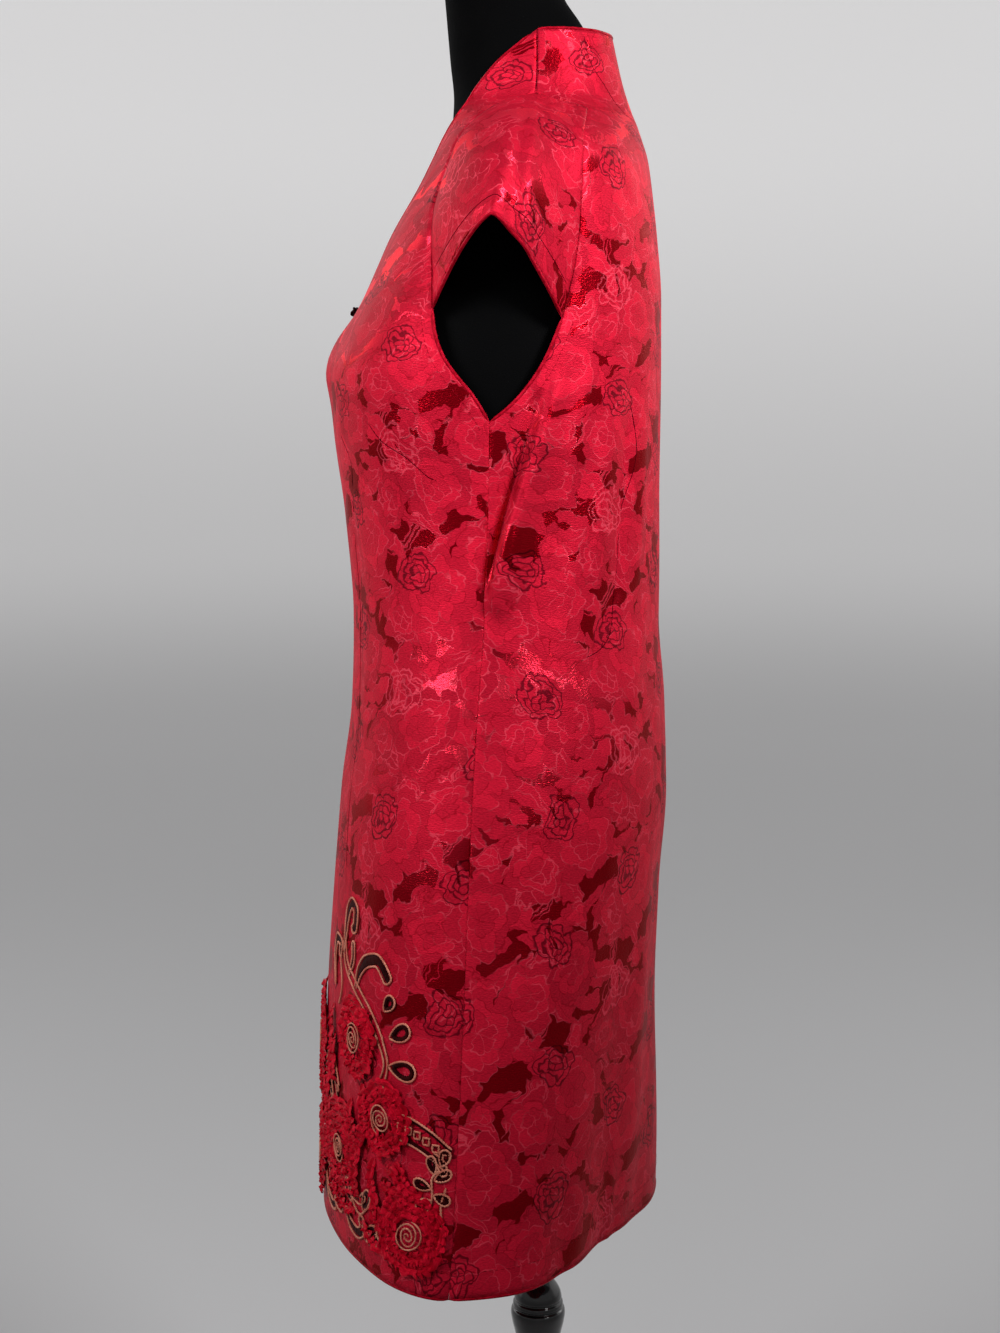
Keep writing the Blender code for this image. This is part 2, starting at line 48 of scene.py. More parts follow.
# Sections: height, half width, front line, back line, side seam line, fullness of the front
# and of the back quarters.
CLOTH_SECTIONS = (
    (0.56, 0.221, -0.175, 0.0965, -0.068, -0.05, -0.07),
    (0.62, 0.217, -0.174, 0.0975, -0.064, -0.03, -0.05),
    (0.72, 0.211, -0.1725, 0.0955, -0.059, 0, -0.02),
    (0.82, 0.203, -0.167, 0.0978, -0.055, 0.02, 0.01),
    (0.9, 0.195, -0.16, 0.1045, -0.052, 0.03, 0.025),
    (0.97, 0.182, -0.152, 0.1035, -0.048, 0.03, 0.03),
    (1.04, 0.168, -0.151, 0.099, -0.043, 0.03, 0.03),
    (1.12, 0.166, -0.158, 0.0995, -0.04, 0.03, 0.03),
    (1.19, 0.17, -0.1675, 0.1, -0.039, 0.04, 0.03),
    (1.225, 0.172, -0.17, 0.1, -0.037, 0.045, 0.03),
    (1.255, 0.172, -0.161, 0.1, -0.0345, 0.045, 0.03),
    (1.29, 0.171, -0.144, 0.1, -0.031, 0.04, 0.03),
    (1.34, 0.172, -0.121, 0.097, -0.026, 0.035, 0.025),
    (1.385, 0.17, -0.096, 0.093, -0.02, 0.025, 0.015),
    (1.405, 0.16, -0.088, 0.0905, -0.018, 0.01, 0),
    (1.42, 0.135, -0.084, 0.0865, -0.013, 0, 0),
    (1.435, 0.102, -0.081, 0.082, -0.007, 0, 0),
    (1.45, 0.07, -0.079, 0.0765, -0.003, 0, 0),
    (1.47, 0.0655, -0.078, 0.07, -0.002, 0, 0),
    (1.515, 0.064, -0.077, 0.0605, -0.004, 0, 0),
)
FORM_SECTIONS = (
    (0.735, 0.178, -0.152, 0.082, -0.056, 0, -0.01),
    (0.82, 0.189, -0.156, 0.088, -0.055, 0.02, 0.01),
    (0.9, 0.182, -0.15, 0.094, -0.052, 0.02, 0.02),
    (0.97, 0.169, -0.1425, 0.0925, -0.048, 0.02, 0.02),
    (1.04, 0.154, -0.14, 0.089, -0.043, 0.02, 0.02),
    (1.12, 0.153, -0.147, 0.089, -0.04, 0.02, 0.02),
    (1.19, 0.158, -0.157, 0.089, -0.039, 0.025, 0.02),
    (1.235, 0.16, -0.157, 0.089, -0.036, 0.03, 0.02),
    (1.285, 0.16, -0.1365, 0.089, -0.032, 0.025, 0.02),
    (1.34, 0.161, -0.109, 0.086, -0.026, 0.02, 0.015),
    (1.378, 0.16, -0.087, 0.0825, -0.02, 0.01, 0.005),
    (1.398, 0.15, -0.079, 0.08, -0.018, 0, 0),
    (1.415, 0.129, -0.0745, 0.076, -0.013, 0, 0),
    (1.429, 0.101, -0.0715, 0.0705, -0.008, 0, 0),
    (1.443, 0.0731, -0.0702, 0.0655, -0.004, 0, 0),
    (1.46, 0.0595, -0.0694, 0.059, -0.004, 0, 0),
    (1.49, 0.0515, -0.0722, 0.052, -0.008, 0, 0),
    (1.52, 0.0505, -0.0748, 0.0365, -0.018, 0, 0),
    (1.543, 0.05, -0.0768, 0.0215, -0.027, 0, 0),
    (1.575, 0.0495, -0.08, 0.012, -0.034, 0, 0),
    (1.588, 0.044, -0.076, 0.007, -0.0345, 0, 0),
)

# Edges on the cloth as (angle from centre front in degrees, height).
FRONT_ARMHOLE = ((90, UNDERARM_Z), (84.5, 1.205), (79.2, 1.219), (73.8, 1.2355),
                 (69.8, 1.2525), (66.8, 1.271))
BACK_ARMHOLE = ((90, UNDERARM_Z), (96.5, 1.199), (102.5, 1.217), (106.2, 1.2325),
                (109, 1.249), (111.1, 1.2635))
FRONT_CAP_SEAM = (
    (66.8, 1.271), (62.6, 1.298), (57.8, 1.3255), (53, 1.35), (49.8, 1.3735),
    (49.6, 1.394), (53.5, 1.409), (61, 1.424), (71.5, 1.44), (85, 1.4478),
)
BACK_CAP_SEAM = (
    (111.1, 1.2635), (113, 1.286), (114.6, 1.3085), (115.6, 1.331), (115.9, 1.354),
    (116.1, 1.376), (116.6, 1.3965), (117.6, 1.4105), (118.6, 1.4235), (119.5, 1.4355),
)
BACK_NECK_EDGE = ((119.5, 1.4355), (110, 1.4404), (100.2, 1.4453), (89.8, 1.4505))
SHOULDER_SEAM = ((89.8, 1.4505), (90, 1.468), (90.6, 1.486), (91.2, 1.502))
FRONT_CENTRE_Z = (UNDERARM_Z, 1.205, 1.225, 1.246, 1.268, NOTCH_Z)
NECK_EDGE = (
    (0, NOTCH_Z), (5, 1.312), (10, 1.335), (15, 1.358), (21, 1.381),
    (27, 1.402), (32, 1.4175), (37.5, 1.43), (45, 1.449), (51, 1.459),
    (59, 1.4695), (68, 1.48), (77.5, 1.489), (86.5, 1.4975),
)
BACK_CENTRE_Z = (
    UNDERARM_Z, 1.205, 1.225, 1.246, 1.262, 1.280, 1.300, 1.320, 1.340, 1.360, 1.380, 1.398,
    1.414, 1.430, 1.444, 1.455, 1.466, 1.476, 1.486, 1.498, 1.510,
)
# Cap sleeve ridge from the notch row up to the neck: x, y, z, roundness of the fold.
CAP_RIDGE = (
    (0.208, -0.037, 1.333, 1.4), (0.204, -0.0345, 1.348, 1.5),
    (0.197, -0.032, 1.364, 1.6), (0.187, -0.0295, 1.38, 1.7),
    (0.174, -0.0265, 1.3955, 1.8), (0.156, -0.0235, 1.41, 1.9),
    (0.134, -0.02, 1.4235, 2), (0.112, -0.0165, 1.434, 2),
    (0.092, -0.011, 1.442, 2), (0.075, -0.004, 1.4478, 2),
)

# Folds: start angle and height, end angle and height, half width, depth outward, side.
FOLDS = (
    (106, 1.19, 94, 1.03, 0.016, 0.005, 0),
    (99, 1.17, 90.5, 1.04, 0.01, -0.003, 0),
    (46, 1.19, 86, 1.128, 0.007, -0.0014, 0),
    (28.5, 1.13, 30, 0.93, 0.009, -0.0012, 0),
    (138, 1.18, 131, 0.96, 0.012, -0.0016, 0),
    (150.5, 0.86, 150, 0.572, 0.022, 0.005, 1),
    (138, 0.8, 136, 0.572, 0.024, -0.0035, 0),
    (108, 0.76, 108, 0.572, 0.026, 0.0035, 0),
    (72, 0.82, 74, 0.64, 0.026, -0.0025, 0),
    (158, 0.72, 157, 0.572, 0.034, 0.019, -1),
    (150, 0.86, 157, 0.72, 0.03, 0.005, -1),
    (150, 1.34, 140, 1.18, 0.04, 0.002, 0),
    (17, 1.254, 4, 1.238, 0.029, 0.0062, 0),
    (150, 0.68, 149, 0.572, 0.042, -0.011, 1),
)
# Finer creases, in the same columns.
CREASES = (
    (78, 1.15, 84, 1.06, 0.006, -0.001, 0),
    (66, 1.17, 74, 1.08, 0.007, 0.0009, 0),
    (52, 1.18, 83, 1.132, 0.0022, -0.001, 0),
    (32, 1.165, 27.5, 1.1, 0.002, -0.0009, 0),
    (28, 1.12, 30.5, 0.9, 0.002, -0.0008, 0),
    (138.5, 1.215, 134, 1.065, 0.006, -0.003, 0),
    (134, 1.065, 122, 1.01, 0.0065, -0.003, 0),
    (130, 1.2, 124, 1.07, 0.009, 0.002, 0),
    (146, 1.19, 143, 1.06, 0.008, 0.0018, 0),
    (120, 1.13, 112, 1.02, 0.008, 0.0011, 0),
    (127, 1.3, 121, 1.18, 0.009, -0.001, 0),
    (150, 1.05, 140, 0.98, 0.007, 0.001, 0),
    (100, 0.96, 96, 0.86, 0.009, 0.0008, 0),
    (64, 0.99, 70, 0.9, 0.009, -0.0008, 0),
    (119, 0.7, 121, 0.572, 0.01, -0.0014, 0),
    (142, 0.68, 143, 0.572, 0.006, 0.0016, 1),
    (126, 1.5, 128.5, 1.478, 0.0016, -0.0008, 0),
    (128.5, 1.478, 152, 1.436, 0.0018, -0.0008, 0),
    (60, 1.33, 40, 1.3, 0.008, 0.0008, 0),
    (46, 1.4, 30, 1.35, 0.006, 0.0008, 0),
)

# Drapes that run out sharply at their end, in the same columns.
DRAPES = (
    (105, 1.2, 92.4, 1.058, 0.0072, -0.0104, 0),
    (110.6, 1.206, 93.6, 1.044, 0.0088, 0.0118, 0),
    (116, 1.225, 102, 1.08, 0.009, -0.0024, 0),
    (123, 1.25, 109, 1.11, 0.01, 0.0018, 0),
    (86, 1.185, 84, 1.09, 0.006, -0.0012, 0),
)

# Folds of a cap from its hem up, and creases near the neck: place across, lean, width, height.
CAP_FOLDS = ((0.7, -0.16, 0.05, 0.0022), (0.6, -0.1, 0.04, -0.0018))
CAP_CREASES = (
    (0.5, 0.1, 0.02, 0.0016), (0.57, 0.16, 0.018, -0.0014), (0.64, 0.24, 0.022, 0.0015),
    (0.72, 0.3, 0.02, -0.0012), (0.38, -0.14, 0.024, 0.0013), (0.3, -0.2, 0.02, -0.001),
)

# Ribbon flowers: centre angle and height, radius, turn of its spiral.
FLOWERS = (
    (47, 0.734, 0.034, 0), (61, 0.686, 0.031, 1.9), (38, 0.646, 0.033, 3.6),
    (74, 0.612, 0.033, 5.1), (12, 0.702, 0.036, 0.7), (-14, 0.638, 0.037, 2.6),
    (-38, 0.72, 0.034, 4.2), (-49, 0.642, 0.033, 1.2), (-71, 0.624, 0.031, 2.2),
    (14, 0.614, 0.028, 5.6),
)


# Curves and surfaces

def pchip(xs, ys):
    xs = np.asarray(xs, float)
    ys = np.asarray(ys, float)
    h = np.diff(xs)
    d = np.diff(ys) / h
    m = np.zeros(len(ys))
    for i in range(1, len(xs) - 1):
        if d[i - 1] * d[i] > 0:
            w1 = 2 * h[i] + h[i - 1]
            w2 = h[i] + 2 * h[i - 1]
            m[i] = (w1 + w2) / (w1 / d[i - 1] + w2 / d[i])
    m[0] = d[0]
    m[-1] = d[-1]

    def value(q):
        q = np.clip(np.asarray(q, float), xs[0], xs[-1])
        i = np.clip(np.searchsorted(xs, q, side="right") - 1, 0, len(xs) - 2)
        t = (q - xs[i]) / h[i]
        a = (1 + 2 * t) * (1 - t) ** 2 * ys[i] + t * (1 - t) ** 2 * h[i] * m[i]
        return a + t * t * (3 - 2 * t) * ys[i + 1] + t * t * (t - 1) * h[i] * m[i + 1]

    return value


def section_curves(rows):
    columns = np.array(rows).T
    return [pchip(columns[0], c) for c in columns[1:]]


CLOTH_CURVES = section_curves(CLOTH_SECTIONS)
FORM_CURVES = section_curves(FORM_SECTIONS)


def surface(curves, angle, z):
    """Points of a rounded section: angle 0 is centre front, 90 the left side, 180 centre back."""
    width, front, back, side, front_full, back_full = (c(z) for c in curves)
    a = np.radians(angle)
    ahead = np.cos(a) > 0
    depth = np.where(ahead, side - front, back - side)
    swell = 1 + np.where(ahead, front_full, back_full) * np.sin(2 * a) ** 2
    return np.stack([width * np.sin(a) * swell, side - depth * np.cos(a) * swell,
                     z + 0 * a], axis=-1)


def unit(v):
    return v / np.maximum(np.linalg.norm(v, axis=-1, keepdims=True), 1e-12)


def normals(curves, angle, z):
    along = surface(curves, angle + 0.5, z) - surface(curves, angle - 0.5, z)
    up = surface(curves, angle, z + 0.002) - surface(curves, angle, z - 0.002)
    return unit(np.cross(along, up))


def fold_sum(rows, angle, z, fading=False):
    here = surface(CLOTH_CURVES, angle, z)
    total = np.zeros(np.shape(z))
    for a0, z0, a1, z1, half_width, depth, side in rows:
        for sign in (1, -1):
            if side not in (0, sign):
                continue
            start = surface(CLOTH_CURVES, np.array(a0 * sign), np.array(z0))
            end = surface(CLOTH_CURVES, np.array(a1 * sign), np.array(z1))
            line = end - start
            t = np.clip(((here - start) @ line) / (line @ line), 0, 1)
            gap = np.linalg.norm(here - start - t[..., None] * line, axis=-1)
            ends = 0.35 + 0.65 * np.sin(math.pi * t) if z1 > HEM_Z else 0.25 + 0.75 * t
            if fading:
                ends = np.minimum(1.0, 0.5 + 0.8 * t) * np.cos(math.pi / 2 * t ** 5)
            total += depth * ends * np.exp(-(gap / half_width) ** 2)
    return total


def ripple(angle, z):
    """Small uneven waves that a worn satin keeps, in metres."""
    a = np.radians(angle)
    low = np.sin(3.1 * a + 9 * z) * np.sin(21 * z + 1.3 * np.sin(2 * a))
    fine = np.sin(11 * a - 31 * z) * np.sin(17 * z + 4 * a + 0.6)
    return 0.0006 * low + 0.00035 * fine


def cloth_points(angle, z):
    """Outer points of the worn cloth, with their outward normals."""
    angle = np.asarray(angle, float)
    z = np.asarray(z, float)
    n = normals(CLOTH_CURVES, angle, z)
    lift = fold_sum(FOLDS, angle, z) + fold_sum(CREASES, angle, z) + ripple(angle, z)
    lift = lift + fold_sum(DRAPES, angle, z, fading=True)
    # The second drape's ridge leans forward over the valley before it.
    lean = np.abs(fold_sum(DRAPES[1:2], angle, z, fading=True))
    along = unit(np.cross(np.array([0.0, 0.0, 1.0]), n)) * np.sign(angle)[..., None]
    return surface(CLOTH_CURVES, angle, z) + n * lift[..., None] - along * lean[..., None], n


def spread(table, count):
    """Evenly many points on a smooth curve through a table's rows."""
    table = np.array(table, float)
    index = np.arange(len(table))
    t = np.linspace(0, len(table) - 1, count)
    return np.stack([pchip(index, table[:, k])(t) for k in range(table.shape[1])], axis=-1)


def run_length(path):
    """Length along a path up to each of its points."""
    return np.concatenate([[0], np.cumsum(np.linalg.norm(np.diff(path, axis=0), axis=-1))])


def run_across(grid):
    """Length along each row of a grid up to each of its points."""
    step = np.linalg.norm(np.diff(grid, axis=1), axis=-1)
    return np.concatenate([np.zeros((len(grid), 1)), np.cumsum(step, axis=1)], axis=1)


def even_path(points, normal, step):
    """Points at even steps along a path, with their normals."""
    both = np.concatenate([points, normal], axis=-1)
    length = run_length(points)
    count = max(int(length[-1] / step) + 1, 3)
    q = np.linspace(0, length[-1], count)
    both = np.stack([np.interp(q, length, both[:, k]) for k in range(6)], axis=-1)
    return both[:, :3], unit(both[:, 3:])


def spun(profile, count):
    """A grid of points: a profile of (radius, height) spun about the pole axis."""
    a = 2 * math.pi * np.arange(count) / count
    return np.stack([profile[:, 0:1] * np.cos(a), profile[:, 0:1] * np.sin(a),
                     profile[:, 1:2] + 0 * a[None]], axis=-1)


# Meshes

def new_mesh(name, verts, faces, uvs=None):
    mesh = bpy.data.meshes.new(name)
    mesh.from_pydata([tuple(v) for v in verts], [], [tuple(int(k) for k in f) for f in faces])
    mesh.polygons.foreach_set("use_smooth", [True] * len(mesh.polygons))
    if uvs is not None:
        layer = mesh.uv_layers.new(name="cloth_m")
        loops = np.empty(len(mesh.loops), dtype=np.int32)
        mesh.loops.foreach_get("vertex_index", loops)
        layer.data.foreach_set("uv", np.asarray(uvs, float)[loops].ravel())
    mesh.update()
    made = bpy.data.objects.new(name, mesh)
    bpy.context.scene.collection.objects.link(made)
    return made


def grid_index(points):
    return np.arange(points[..., 0].size).reshape(points.shape[:2])


def ring_index(rows, count):
    """Vertex numbers of a grid whose last column joins its first."""
    index = np.arange(rows * count).reshape(rows, count)
    return np.concatenate([index, index[:, :1]], axis=1)


def grid_faces(index, flip=False):
    a = index[:-1, :-1].ravel()
    b = index[:-1, 1:].ravel()
    c = index[1:, 1:].ravel()
    d = index[1:, :-1].ravel()
    quads = np.stack([a, b, c, d], axis=-1)
    return quads[:, ::-1] if flip else quads


def wall(name, outer, normal, uvs, quads):
    """Closed thin wall from outer points: an inner skin and rims on the open edges."""
    count = len(outer)
    verts = np.concatenate([outer, outer - normal * CLOTH])
    edges = np.concatenate([quads[:, [0, 1]], quads[:, [1, 2]], quads[:, [2, 3]], quads[:, [3, 0]]])
    seen = {(int(a), int(b)) for a, b in edges}
    rims = [(b, a, a + count, b + count) for a, b in seen if (b, a) not in seen]
    rims.sort()
    faces = list(quads) + list(quads[:, ::-1] + count) + rims
    return new_mesh(name, verts, faces, np.concatenate([uvs, uvs]))


def wall_of_grid(name, points, normal, uv, flip):
    return wall(name, points.reshape(-1, 3), normal.reshape(-1, 3), uv.reshape(-1, 2),
                grid_faces(grid_index(points), flip))


def seam_dip(gap):
    """How far the cloth dips at this distance from a seam."""
    return (SEAM_DIP * np.exp(-(gap / SEAM_REACH) ** 2))[..., None]


def panel_grid(sections, columns, sign, seam_edges):
    """Dense rows of a panel: each section is (inner edge table, outer edge table, rows)."""
    inner = []
    outer = []
    for k, (near, far, count) in enumerate(sections):
        a = spread(near, count)
        b = spread(far, count)
        inner.append(a if k == 0 else a[1:])
        outer.append(b if k == 0 else b[1:])
    inner = np.concatenate(inner)
    outer = np.concatenate(outer)
    s = 1 - (1 - np.linspace(0, 1, columns + 1)) ** CROWDING
    grid = inner[:, None, :] + (outer - inner)[:, None, :] * s[None, :, None]
    points, normal = cloth_points(grid[..., 0] * sign, grid[..., 1])
    base = surface(CLOTH_CURVES, grid[..., 0] * sign, grid[..., 1])
    along = run_across(base)
    up = run_length(base[:, columns // 2])
    uv = np.stack([along * sign, up[:, None] + 0 * along], axis=-1)
    total = along[:, -1:]
    for edge in seam_edges:
        gap = total - along if edge == 1 else along
        points = points - normal * seam_dip(gap)
    return points, normal, uv


def pull_in(points, column, toward, amount):
    """Draw an edge column back from its seam, square to the seam."""
    edge = points[:, column]
    seam = unit(np.gradient(edge, axis=0))
    inward = points[:, toward] - edge
    square = inward - seam * np.sum(inward * seam, axis=-1, keepdims=True)
    scale = amount / np.maximum(np.linalg.norm(square, axis=-1, keepdims=True), 1e-6)
    points[:, column] = edge + inward * np.minimum(scale, 0.6)


# How deep the cloth dips at a seam, how far that reaches, how closely the columns crowd there,
# and where the pattern starts on the back and on the caps.
SEAM_DIP = 0.0009
SEAM_REACH = 0.0022
CROWDING = 1.22
BACK_UV = (0.31, 0.045)
CAP_UV = (0.52, 0.71)
# Rows and columns of the panels.
SKIRT_COUNT = 120
ARM_COUNT = 20
CAP_COUNT = 40
SHOULDER_COUNT = 14
FRONT_COLUMNS = 58
BACK_COLUMNS = 66
CAP_COLUMNS = 44


def front_sections():
    centre = [(0.0, z) for z in FRONT_CENTRE_Z]
    return (
        (((0.0, HEM_Z), (0.0, UNDERARM_Z)), ((90.0, HEM_Z), (90.0, UNDERARM_Z)), SKIRT_COUNT),
        (centre, FRONT_ARMHOLE, ARM_COUNT),
        (NECK_EDGE[:10], FRONT_CAP_SEAM, CAP_COUNT),
        (NECK_EDGE[9:], FRONT_CAP_SEAM[-1:] + SHOULDER_SEAM, SHOULDER_COUNT),
    )


def back_sections():
    centre = [(180.0, z) for z in BACK_CENTRE_Z]
    return (
        (((180.0, HEM_Z), (180.0, UNDERARM_Z)), ((90.0, HEM_Z), (90.0, UNDERARM_Z)), SKIRT_COUNT),
        (centre[:6], BACK_ARMHOLE, ARM_COUNT),
        (centre[5:15], BACK_CAP_SEAM, CAP_COUNT),
        (centre[14:18], BACK_NECK_EDGE, 10),
        (centre[17:], SHOULDER_SEAM, SHOULDER_COUNT),
    )


def make_front():
    """Both halves in one mesh: below the notch they share their centre column."""
    notch = SKIRT_COUNT + ARM_COUNT - 2
    parts = []
    for sign in (1, -1):
        points, normal, uv = panel_grid(front_sections(), FRONT_COLUMNS, sign, (1,))
        pull_in(points, FRONT_COLUMNS, FRONT_COLUMNS - 1, GAP)
        parts.append((points, normal, uv))
    rows, columns = parts[0][0].shape[:2]
    left = np.arange(rows * columns).reshape(rows, columns)
    right = left + rows * columns
    right[:notch + 1, 0] = left[:notch + 1, 0]
    outer = np.concatenate([p[0].reshape(-1, 3) for p in parts])
    normal = np.concatenate([p[1].reshape(-1, 3) for p in parts])
    uvs = np.concatenate([p[2].reshape(-1, 2) for p in parts])
    quads = np.concatenate([grid_faces(left), grid_faces(right, True)])
    used = np.unique(quads)
    renumber = np.full(len(outer), -1)
    renumber[used] = np.arange(len(used))
    made = wall("front_panel_cloth", outer[used], normal[used], uvs[used], renumber[quads])
    return made, [part[:2] for part in parts]


def make_back(name, sign):
    points, normal, uv = panel_grid(back_sections(), BACK_COLUMNS, sign, (0, 1))
    pull_in(points, BACK_COLUMNS, BACK_COLUMNS - 1, GAP)
    points[:, 0, 0] = sign * GAP
    normal[:, 0, 0] = 0
    uv = uv * (-1, 1) + (sign * BACK_UV[0], BACK_UV[1])
    return wall_of_grid(name, points, normal, uv, sign == 1), points, normal


def make_cap(name, sign):
    """A cap sleeve: rows run from the hem to the neck, columns from the front seam to the back."""
    ridge = spread(CAP_RIDGE, CAP_COUNT)
    front_edge = spread(FRONT_CAP_SEAM, CAP_COUNT)
    back_edge = spread(BACK_CAP_SEAM, CAP_COUNT)
    front, front_n = cloth_points(front_edge[:, 0] * sign, front_edge[:, 1])
    back, back_n = cloth_points(back_edge[:, 0] * sign, back_edge[:, 1])
    top = ridge[:, :3] * (sign, 1, 1)
    split = (top[:, 1] - front[:, 1]) / (back[:, 1] - front[:, 1])
    t = np.linspace(0, 1, CAP_COLUMNS + 1)[None, :]
    s = split[:, None]
    reach = np.where(t < s, t / s, (1 - t) / (1 - s))
    lift = 1 - (1 - np.clip(reach, 0, 1)) ** ridge[:, 3:4]
    base = front[:, None] + (back - front)[:, None] * t[..., None]
    middle = front + (back - front) * split[:, None]
    points = base + (top - middle)[:, None] * lift[..., None]
    # The last row follows the foot of the collar, from the front seam over the shoulder seam.
    front_foot, front_z = FRONT_CAP_SEAM[-1]
    shoulder, shoulder_z = SHOULDER_SEAM[0]
    back_foot, back_z = BACK_CAP_SEAM[-1]
    angle = front_foot + 1 + (back_foot - front_foot - 1) * t[0]
    foot_z = np.interp(angle, (front_foot, shoulder, back_foot), (front_z, shoulder_z, back_z))
    neck, neck_n = cloth_points(angle * sign, foot_z - 0.0001)
    neck = neck - neck_n * SEAM_DIP
    points[-1] = neck
    for back_step, share in ((2, 0.55), (3, 0.2)):
        points[-back_step] += (neck - points[-back_step]) * share * 0.5
    along = np.gradient(points, axis=1)
    up = np.gradient(points, axis=0)
    normal = unit(np.cross(along, up)) * sign
    v = np.linspace(0, 1, CAP_COUNT)[:, None]
    hem = np.exp(-(v / 0.035) ** 2)
    folds = 0.0009 * np.sin(9 * t + 5 * v) * np.sin(math.pi * t)
    for t0, lean, wide, tall in CAP_FOLDS:
        folds = folds + tall * np.exp(-((t - t0 - lean * v) / wide) ** 2) * (1 - v) ** 0.6
    # A pressed line above the hem, and the creases near the neck.
    band = -0.0008 * np.exp(-((v - 0.115) / 0.014) ** 2)
    high = np.clip((v - 0.62) / 0.30, 0, 1) * np.clip((1.0 - v) / 0.06, 0, 1)
    for t0, lean, wide, tall in CAP_CREASES:
        band = band + high * tall * np.exp(-((t - t0 - lean * (1 - v)) / wide) ** 2)
    lift = (folds * (1 - hem * 0.3) + band) * np.clip((1 - v) / 0.05, 0, 1)
    points = points + normal * lift[..., None]
    edge = np.minimum(t, 1 - t) * 0.14 + 0.01 * np.clip(v - 0.98, 0, 1) / 0.02
    points = points - normal * seam_dip(edge)
    normal[:, 0] = front_n
    normal[:, -1] = back_n
    pull_in(points, 0, 1, GAP)
    pull_in(points, CAP_COLUMNS, CAP_COLUMNS - 1, GAP)
    half = CAP_COLUMNS // 2
    run = run_across(points)
    run = run - run[:, half:half + 1]
    rise = run_length(points[:, half])
    uv = np.stack([run + CAP_UV[0] * sign, rise[:, None] + 0 * run + CAP_UV[1]], axis=-1)
    return wall_of_grid(name, points, normal, uv, sign == -1), points, normal


class Strands:
    """Gathers many tubes, strips and grids in one mesh."""

    def __init__(self):
        self.verts = []
        self.faces = []
        self.uvs = []
        self.count = 0

    def add(self, verts, faces, uvs):
        self.verts.append(verts)
        self.uvs.append(uvs)
        self.faces.extend((faces + self.count).tolist())
        self.count += len(verts)

    def tube(self, path, normal, half_width, half_height, sides=6, closed=False, beat=0.0,
             beat_length=0.0022):
        """A cord along path whose flat side faces the normal; beat swells it stitch by stitch."""
        path = np.asarray(path, float)
        if closed:
            tangent = unit(np.roll(path, -1, axis=0) - np.roll(path, 1, axis=0))
        else:
            tangent = unit(np.gradient(path, axis=0))
        side = unit(np.cross(tangent, normal))
        top = unit(np.cross(side, tangent))
        length = run_length(path)
        swell = 1 + beat * np.sin(2 * math.pi * length / beat_length)
        count = len(path)
        if not closed:
            swell = swell * np.clip(np.minimum(np.arange(count), np.arange(count)[::-1]) * 0.45
                                    + 0.35, 0, 1)
        a = 2 * math.pi * np.arange(sides) / sides
        ring = (side[:, None] * (half_width * np.cos(a))[None, :, None]
                + top[:, None] * (half_height * np.sin(a))[None, :, None])
        verts = (path[:, None] + ring * swell[:, None, None]).reshape(-1, 3)
        index = ring_index(count, sides)
        if closed:
            index = np.concatenate([index, index[:1]], axis=0)
        faces = grid_faces(index)
        uv = np.stack([np.repeat(length, sides), np.tile(a / (2 * math.pi) * 0.004, count)],
                      axis=-1)
        self.add(verts, faces, uv)
        if not closed:
            for ring_start, order in ((0, 1), ((count - 1) * sides, -1)):
                loop = list(range(ring_start, ring_start + sides))[::order]
                base = self.count - len(verts)
                self.faces.append([base + k for k in loop])

    def grid(self, points, uvs):
        self.add(points.reshape(-1, 3), grid_faces(grid_index(points)), uvs.reshape(-1, 2))

    def build(self, name):
        return new_mesh(name, np.concatenate(self.verts), self.faces, np.concatenate(self.uvs))


# Materials

